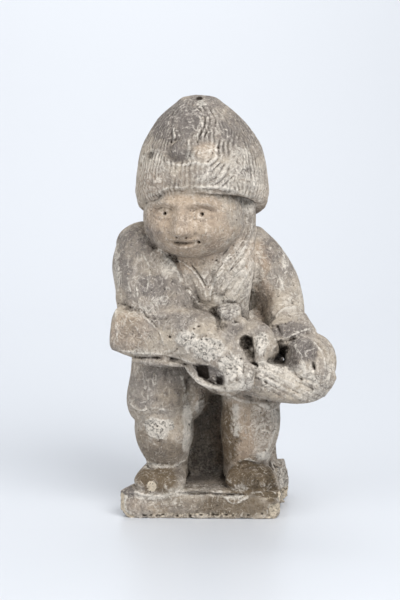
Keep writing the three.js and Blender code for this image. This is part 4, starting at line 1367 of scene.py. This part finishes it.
def stone_material(colours):
    """Weathered stone: open and sheltered colour, warm, damp, crust, dust and painted highlights,
    scratches, dirt and painted shade
    """
    material = bpy.data.materials.new("weathered_stone")
    material.use_nodes = True
    tree = material.node_tree
    shader = tree.nodes["Principled BSDF"]
    coords = tree.nodes.new("ShaderNodeTexCoord")
    coords.location = (-2000, 0)
    at = coords.outputs["Object"]
    scratches = scratch_lines(tree, at)
    groove, crest = hair_masks(tree)
    swirl = noise(tree, 130, 4, 0.68, (-1500, 1300), at, 1.8)
    blotch = noise(tree, 26, 5, 0.6, (-1500, 700), at)
    mottle = noise(tree, 105, 5, 0.68, (-1500, 500), at)
    speck = noise(tree, 400, 3, 0.65, (-1500, 300), at)

    group = ragged_group()
    masks = {name: ragged(tree, group, name, pattern, raggedness, edge, (-1100, y))
             for name, pattern, raggedness, edge, y in (
                 ("crust", mottle, 2.3, 0.8, 300), ("dust", swirl, 2.6, 0.7, 100),
                 ("dirt", speck, 1.2, 0.8, -100), ("chips", speck, 1.6, 0.35, -300),
                 ("damp", mottle, 1.4, 1.0, -500), ("warm", mottle, 1.2, 1.0, -700))}

    colour = masked_mix(tree, tuple(colours.stone), tuple(colours.shelter),
                        map_range(tree, blotch, 0.42, 0.60, (-1200, 700)), (-900, 500))
    for k, (name, share) in enumerate(STONE_LAYERS):
        mask = math_node(tree, "MULTIPLY", masks[name], share, (-850 + 150 * k, 650))
        colour = masked_mix(tree, colour, tuple(getattr(colours, name)), mask, (-750 + 150 * k, 450))
    dry = map_range(tree, masks["damp"], 0.5, 0.0, (-900, 1300), 0.16, 0.4)
    for k, scratch in enumerate(scratches):
        part = map_range(tree, mottle, 0.46 + 0.02 * k, 0.58, (-900, 900 + 200 * k))
        broken = math_node(tree, "MULTIPLY", dry, part, (-800, 900 + 200 * k))
        pale = math_node(tree, "MULTIPLY", scratch, broken, (-700, 900 + 200 * k))
        colour = masked_mix(tree, colour, tuple(colours.dust), pale, (-150 + 150 * k, 250))
    colour = masked_mix(tree, colour, tuple(colours.chip), masks["chips"], (150, 200))
    fleck = map_range(tree, noise(tree, 420, 3, 0.6, (-1500, 900), at, 0.6), 0.64, 0.72,
                      (-900, -1000), 0.0, 0.7)
    colour = masked_mix(tree, colour, tuple(colours.chip), fleck, (220, 180))
    # Painted highlight: the crests of the hair strands take the pale dust colour, less where crust lies
    bare = map_range(tree, masks["crust"], 0.2, 1.0, (0, 900), 0.42, 0.2)
    lit = math_node(tree, "MULTIPLY", crest, bare, (200, 900))
    colour = masked_mix(tree, colour, tuple(colours.dust), lit, (230, 170))

    worm = noise(tree, 240, 4, 0.7, (-1500, 2100), at, 1.2)
    eaten = math_node(tree, "MULTIPLY", map_range(tree, worm, 0.45, 0.37, (-1200, 2100)),
                      attribute(tree, "rough", (-1400, 2300)), (-1000, 2100))
    pits = map_range(tree, noise(tree, 290, 3, 0.6, (-1500, 1100), at), 0.37, 0.28, (-900, -900),
                     0.0, 0.8)
    # Painted shade in the hair's grooves and in the recesses, with dark pits and eaten spots, all mixed
    # towards the dark brown
    dark = (math_node(tree, "MULTIPLY", groove, 0.38, (200, 1100)), pits,
            math_node(tree, "MULTIPLY", eaten, 0.6, (-800, 2100)), masks["dirt"])
    for k, mask in enumerate(dark):
        colour = masked_mix(tree, colour, tuple(colours.dirt), mask, (260 + 60 * k, 160 - 20 * k))

    mixed = tree.nodes.new("ShaderNodeVectorMath")
    mixed.operation = "SCALE"
    mixed.location = (600, 100)
    tree.links.new(colour, mixed.inputs[0])
    tree.links.new(uneven_shade(tree, swirl, mottle, speck, blotch), mixed.inputs["Scale"])
    tree.links.new(mixed.outputs[0], shader.inputs["Base Color"])
    shader.inputs["Roughness"].default_value = 0.93
    shader.inputs["Specular IOR Level"].default_value = 0.2
    tree.links.new(stone_relief(tree, speck, mottle, swirl, groove, eaten), shader.inputs["Normal"])
    shader.location = (900, 0)
    tree.nodes["Material Output"].location = (1200, 0)
    return material


def write_attribute(mesh, name, values):
    """Stores one value for each point of the mesh"""
    made = mesh.attributes.new(name, "FLOAT", "POINT")
    made.data.foreach_set("value", values.astype(np.float32))


# Corners and ends that are broken off along a flat face: a place on the face, the way it faces
# and how far round it reaches, in millimetres
BREAKS = [
    ((-90, -66, 5), (-0.72, -0.25, -0.65), 46), ((92, -70, 4), (0.80, -0.35, -0.49), 30),
    ((104, 10, 30), (0.78, -0.60, -0.15), 34), ((98, -8, 58), (0.55, -0.80, 0.22), 24),
    ((108, 20, 52), (0.80, -0.35, 0.48), 22), ((95, 20, 66), (0.80, -0.20, 0.57), 34),
    ((200, 40, 46.5), (0.0, 0.23, 0.97), 107), ((100, -6, 40), (0.35, -0.90, 0.25), 18),
    ((147, -88, 160), (0.86, 0.0, -0.51), 36),
]


def break_off(surface):
    """Moves what stands out past each broken face back onto it, a little unevenly"""
    for place, faces, reach in BREAKS:
        faces = unit(np.array(faces))
        offset = surface.points - place
        over = np.maximum(offset @ faces - 0.8 * lattice_noise(surface.points, 7.0, 17), 0)
        over = over * (np.linalg.norm(offset, axis=1) < reach)
        surface.points -= over[:, None] * faces


def fill_gaps(surface):
    """Smooths the surface inside each outline of the narrow gaps"""
    picture = Picture(surface)
    for rounds, outline in SOFT:
        share = np.zeros(len(surface.points))
        near, inside = outline_mask(picture, outline, 3.0, share)
        share[near] = inside
        surface.soften(share, rounds)
    surface.renew()


def carve_marks(surface, sizes):
    """Carves the breaks, the face, the hair, every mark of the front and the uneven stone.

    Strands, lines and the uneven stone are added along the surface's normals, pits and cut
    areas along the line of sight. Returns the strands, how nearly each point belongs to the
    face and the height of the lines.
    """
    break_off(surface)
    surface.push(1.2 * layered_noise(surface.points, *PATTERNS["sag"]))
    surface.renew()
    fill_gaps(surface)
    on_face = carve_face(surface)
    picture = Picture(surface)
    strands = cap_strands(surface, picture, sizes.groove_pitch / MM)
    points = surface.points
    wear = 0.45 + 0.55 * ramp(layered_noise(points, *PATTERNS["wear"]), -0.45, 0.35)
    marks = np.zeros(len(points))
    for lines in LINES.values():
        draw_lines(picture, lines, marks, wear * sizes.carving)
    lumps = layered_noise(points, *PATTERNS["lumps"])
    fine = layered_noise(points, *PATTERNS["fine"])
    streaks = layered_noise(points * (1, 1, 0.3), *PATTERNS["streaks"])
    pitted = ramp(layered_noise(points, *PATTERNS["pitted"]), 0.42, 0.7)
    depths = np.zeros(len(points))
    draw_spots(picture, SPOTS, depths)
    rough = np.zeros(len(points))
    for _, _, height, edge, roughness, outline in AREAS:
        near, share = outline_mask(picture, outline, edge, fine)
        depths[near] += height * share
        rough[near] += roughness * share
    foot = ramp(10 - points[:, 2], 0, 6) * ramp(layered_noise(points, *PATTERNS["foot"]), -0.1, 0.5)
    scale = sizes.roughening / MM * (1 - 0.45 * on_face) * (0.35 + 0.65 * picture.front)
    uneven = lumps + 0.6 * fine + 0.5 * streaks - 1.2 * pitted
    surface.push(sizes.groove_depth / MM * strand_height(strands) + marks + scale * uneven
                 + rough * (1.2 * fine - 2.0 * pitted) - 1.4 * foot)
    surface.push(depths, picture.back)
    surface.points[:, 2] = np.maximum(surface.points[:, 2], 0)
    surface.renew()
    strands["rough"] = rough
    return strands, on_face, marks


def finish_values(surface, strands, on_face, marks):
    """How much of each finish each point has.

    On the front the listed patches and areas decide. What the front view doesn't see gets
    crust, more where it faces up, dust and warm stone in clouds, and damp towards the floor.
    Painted shade, carried with the dirt, darkens the recesses: grooves, hollows and places with
    much stone close in front. Painted highlights, carried with the dust, lighten small ridges
    and raised lines.
    """
    points = surface.points
    picture = Picture(surface)
    ragged = layered_noise(points, *PATTERNS["ragged"])
    cloud = layered_noise(points, *PATTERNS["cloud"])
    fine = layered_noise(points, *PATTERNS["fine"])
    edge = surface.hollow(4)
    broad = surface.hollow(30)
    near = crowding(surface, 4.0, 6.0)
    far = crowding(surface, 6.0, 20.0)
    front = surface.even(picture.front, 6)
    hidden = 1 - front
    upward = ramp(surface.normals[:, 2], -0.2, 0.9)
    values = {name: patches(picture, spots, ragged) for name, spots in FINISH.items()}
    for name, strength, _, border, _, outline in AREAS:
        at, share = outline_mask(picture, outline, border, fine)
        values[name][at] = np.maximum(values[name][at], strength * share)
    values["crust"] += hidden * (0.1 + 0.4 * upward) * ramp(cloud, -0.4, 0.5)
    # Pale dust in clouds on the hidden sides; on small ridges and raised lines the dust is painted
    # highlight as well as wear
    values["dust"] += hidden * 0.35 * ramp(-cloud, -0.1, 0.6) + 0.35 * ramp(-edge, 0.05, 0.35)
    values["dust"] += 0.6 * ramp(marks, 0.4, 1.4)
    values["dirt"] *= 1 - 0.8 * on_face
    values["warm"] += hidden * 0.4 * ramp(ragged, -0.4, 0.5)
    values["damp"] += hidden * 0.6 * ramp(90 - points[:, 2], 0, 90)
    # Painted shade: the recesses darken by how far they sink below their surroundings and how much stone
    # lies close in front, except in the lit recesses
    recess_shade = 0.6 * ramp(edge, 0.12, 0.7) + 0.5 * ramp(broad, 0.6, 3.0) + 0.6 * ramp(near, 2.0, 3.8)
    recess_shade = recess_shade + 0.45 * ramp(far, 1.9, 3.4) + 0.25 * ramp(-marks, 0.8, 2.6)
    recess_shade *= 1 - patches(picture, LIT_RECESSES, ragged)
    values["dirt"] = np.maximum(values["dirt"], np.minimum(recess_shade, 0.9))
    return values


def thin_out(statue, most):
    """Leaves out points where the surface is plain until the triangles are few enough"""
    thin = statue.modifiers.new("Thin", "DECIMATE")
    count = np.empty(len(statue.data.polygons), np.int32)
    statue.data.polygons.foreach_get("loop_total", count)
    thin.ratio = min(1.0, most / (count - 2).sum())
    apply_modifiers(statue)


class DWARF_OT_statue(bpy.types.Operator):
    """Carves the whole statue from its forms and gives it its stone"""
    bl_idname = "dwarf.statue"
    bl_label = "Carve the statue"

    def execute(self, context):
        """Joins the forms, wears and carves them, thins the mesh out and gives it its stone"""
        sizes = context.scene.dwarf_sizes
        mesh = joined_mesh("statue", rough_forms())
        statue = bpy.data.objects.new("statue", mesh)
        context.collection.objects.link(statue)
        remesh = statue.modifiers.new("Grain", "REMESH")
        remesh.mode = "VOXEL"
        remesh.voxel_size = sizes.grain
        apply_modifiers(statue)

        surface = Surface(statue.data)
        surface.smooth(sizes.wear)
        surface.renew()
        carved = carve_marks(surface, sizes)
        values = finish_values(surface, *carved)
        for name, value in {**values, **carved[0]}.items():
            write_attribute(statue.data, name, value)
        thin_out(statue, MOST_TRIANGLES)
        statue.data.materials.clear()
        statue.data.materials.append(stone_material(context.scene.dwarf_colours))
        statue.data.polygons.foreach_set("use_smooth", np.ones(len(statue.data.polygons), bool))
        statue.data.update()
        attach(statue, "root")
        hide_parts("dwarf_statue")
        return {"FINISHED"}


# The backdrop in metres: a flat floor from front to back, a bend of one radius and a wall
FLOOR_FRONT, FLOOR_BACK = -3.5, 1.5
BEND_RADIUS = 2.2
WALL_HEIGHT = 6.0
HALF_WIDTH = 6.0

# Where each light stands and what it is aimed at, in metres, and how wide it is
LIGHTS = {
    "key": ((0.65, -1.2, 1.5), (0, 0, 0.25), 1.2),
    "fill": ((-1.5, -1.0, 0.9), (0, 0, 0.25), 1.4),
    "wash": ((-0.3, 1.6, 2.6), (-0.2, 3.2, 0.5), 2.4),
}


def backdrop_mesh():
    """A sheet that runs flat, bends up in a quarter circle and ends upright"""
    bend = np.linspace(0, np.pi / 2, 48)
    flat = np.linspace(FLOOR_FRONT, FLOOR_BACK, 20)
    curve = np.stack([FLOOR_BACK + BEND_RADIUS * np.sin(bend), BEND_RADIUS * (1 - np.cos(bend))], -1)
    profile = np.vstack([np.stack([flat, 0 * flat], -1), curve[1:],
                         [[FLOOR_BACK + BEND_RADIUS, WALL_HEIGHT]]])
    rows = len(profile)
    x = np.tile([-HALF_WIDTH, 0, HALF_WIDTH], rows)
    points = np.stack([x, np.repeat(profile[:, 0], 3), np.repeat(profile[:, 1], 3)], -1)
    row, column = np.meshgrid(np.arange(rows - 1), np.arange(2), indexing="ij")
    a = (row * 3 + column).ravel()
    mesh = bpy.data.meshes.new("sweep")
    mesh.from_pydata(points.tolist(), [], np.stack([a, a + 1, a + 4, a + 3], -1).tolist())
    mesh.polygons.foreach_set("use_smooth", np.ones(len(mesh.polygons), bool))
    return mesh


def paper_material(colour):
    """Plain paper of one colour"""
    material = bpy.data.materials.new("pale_sweep")
    material.use_nodes = True
    shader = material.node_tree.nodes["Principled BSDF"]
    shader.inputs["Base Color"].default_value = (*colour, 1)
    shader.inputs["Roughness"].default_value = 0.35
    shader.inputs["Specular IOR Level"].default_value = 0.3
    return material


def aim(thing, place, direction):
    """Puts a light or a camera in its place and turns it the way it looks"""
    thing.location = place
    thing.rotation_euler = direction.to_track_quat("-Z", "Y").to_euler()
    bpy.context.collection.objects.link(thing)


class DWARF_OT_stage(bpy.types.Operator):
    """Sets the pale floor, the soft lights and the camera"""
    bl_idname = "dwarf.stage"
    bl_label = "Set the stage"

    def execute(self, context):
        """Adds the backdrop, the light from all round, three lights and the camera"""
        settings = context.scene.dwarf_stage
        scene = context.scene
        sweep = bpy.data.objects.new("sweep", backdrop_mesh())
        context.collection.objects.link(sweep)
        sweep.data.materials.append(paper_material(settings.paper))

        world = bpy.data.worlds.new("studio")
        scene.world = world
        world.use_nodes = True
        background = world.node_tree.nodes["Background"]
        background.inputs["Color"].default_value = (0.92, 0.96, 1, 1)
        background.inputs["Strength"].default_value = settings.ambient

        for name, (place, target, size) in LIGHTS.items():
            light = bpy.data.lights.new(name, "AREA")
            light.energy = getattr(settings, name)
            light.size = size
            aim(bpy.data.objects.new(name, light), place, Vector(target) - Vector(place))

        middle = Vector((*(-MIDDLE[:2] * MM), settings.aim_height))
        back = Vector((0, -math.cos(settings.elevation), math.sin(settings.elevation)))
        lens = bpy.data.cameras.new("camera")
        lens.lens = settings.lens
        scene.camera = bpy.data.objects.new("camera", lens)
        aim(scene.camera, middle + back * settings.distance, -back)
        scene.view_settings.view_transform = "Standard"
        return {"FINISHED"}


class DWARF_PT_panel(bpy.types.Panel):
    """Lists the steps and their settings"""
    bl_idname = "DWARF_PT_panel"
    bl_label = "Stone dwarf"
    bl_space_type = "VIEW_3D"
    bl_region_type = "UI"
    bl_category = "Dwarf"

    def draw(self, context):
        """Draws every setting and the two buttons"""
        layout = self.layout
        for group in (context.scene.dwarf_sizes, context.scene.dwarf_colours,
                      context.scene.dwarf_stage):
            for name in group.__annotations__:
                layout.prop(group, name)
        layout.operator(DWARF_OT_statue.bl_idname)
        layout.operator(DWARF_OT_stage.bl_idname)


CLASSES = (DwarfSizes, DwarfColours, StageSettings, DWARF_OT_statue, DWARF_OT_stage, DWARF_PT_panel)


def register():
    """Makes the classes and their settings known"""
    for cls in CLASSES:
        bpy.utils.register_class(cls)
    bpy.types.Scene.dwarf_sizes = bpy.props.PointerProperty(type=DwarfSizes)
    bpy.types.Scene.dwarf_colours = bpy.props.PointerProperty(type=DwarfColours)
    bpy.types.Scene.dwarf_stage = bpy.props.PointerProperty(type=StageSettings)


def unregister():
    """Takes the classes and their settings away"""
    del bpy.types.Scene.dwarf_sizes, bpy.types.Scene.dwarf_colours, bpy.types.Scene.dwarf_stage
    for cls in reversed(CLASSES):
        bpy.utils.unregister_class(cls)


def main():
    """Makes everything"""
    register()
    bpy.ops.dwarf.statue()
    bpy.ops.dwarf.stage()


if __name__ == "__main__":
    main()
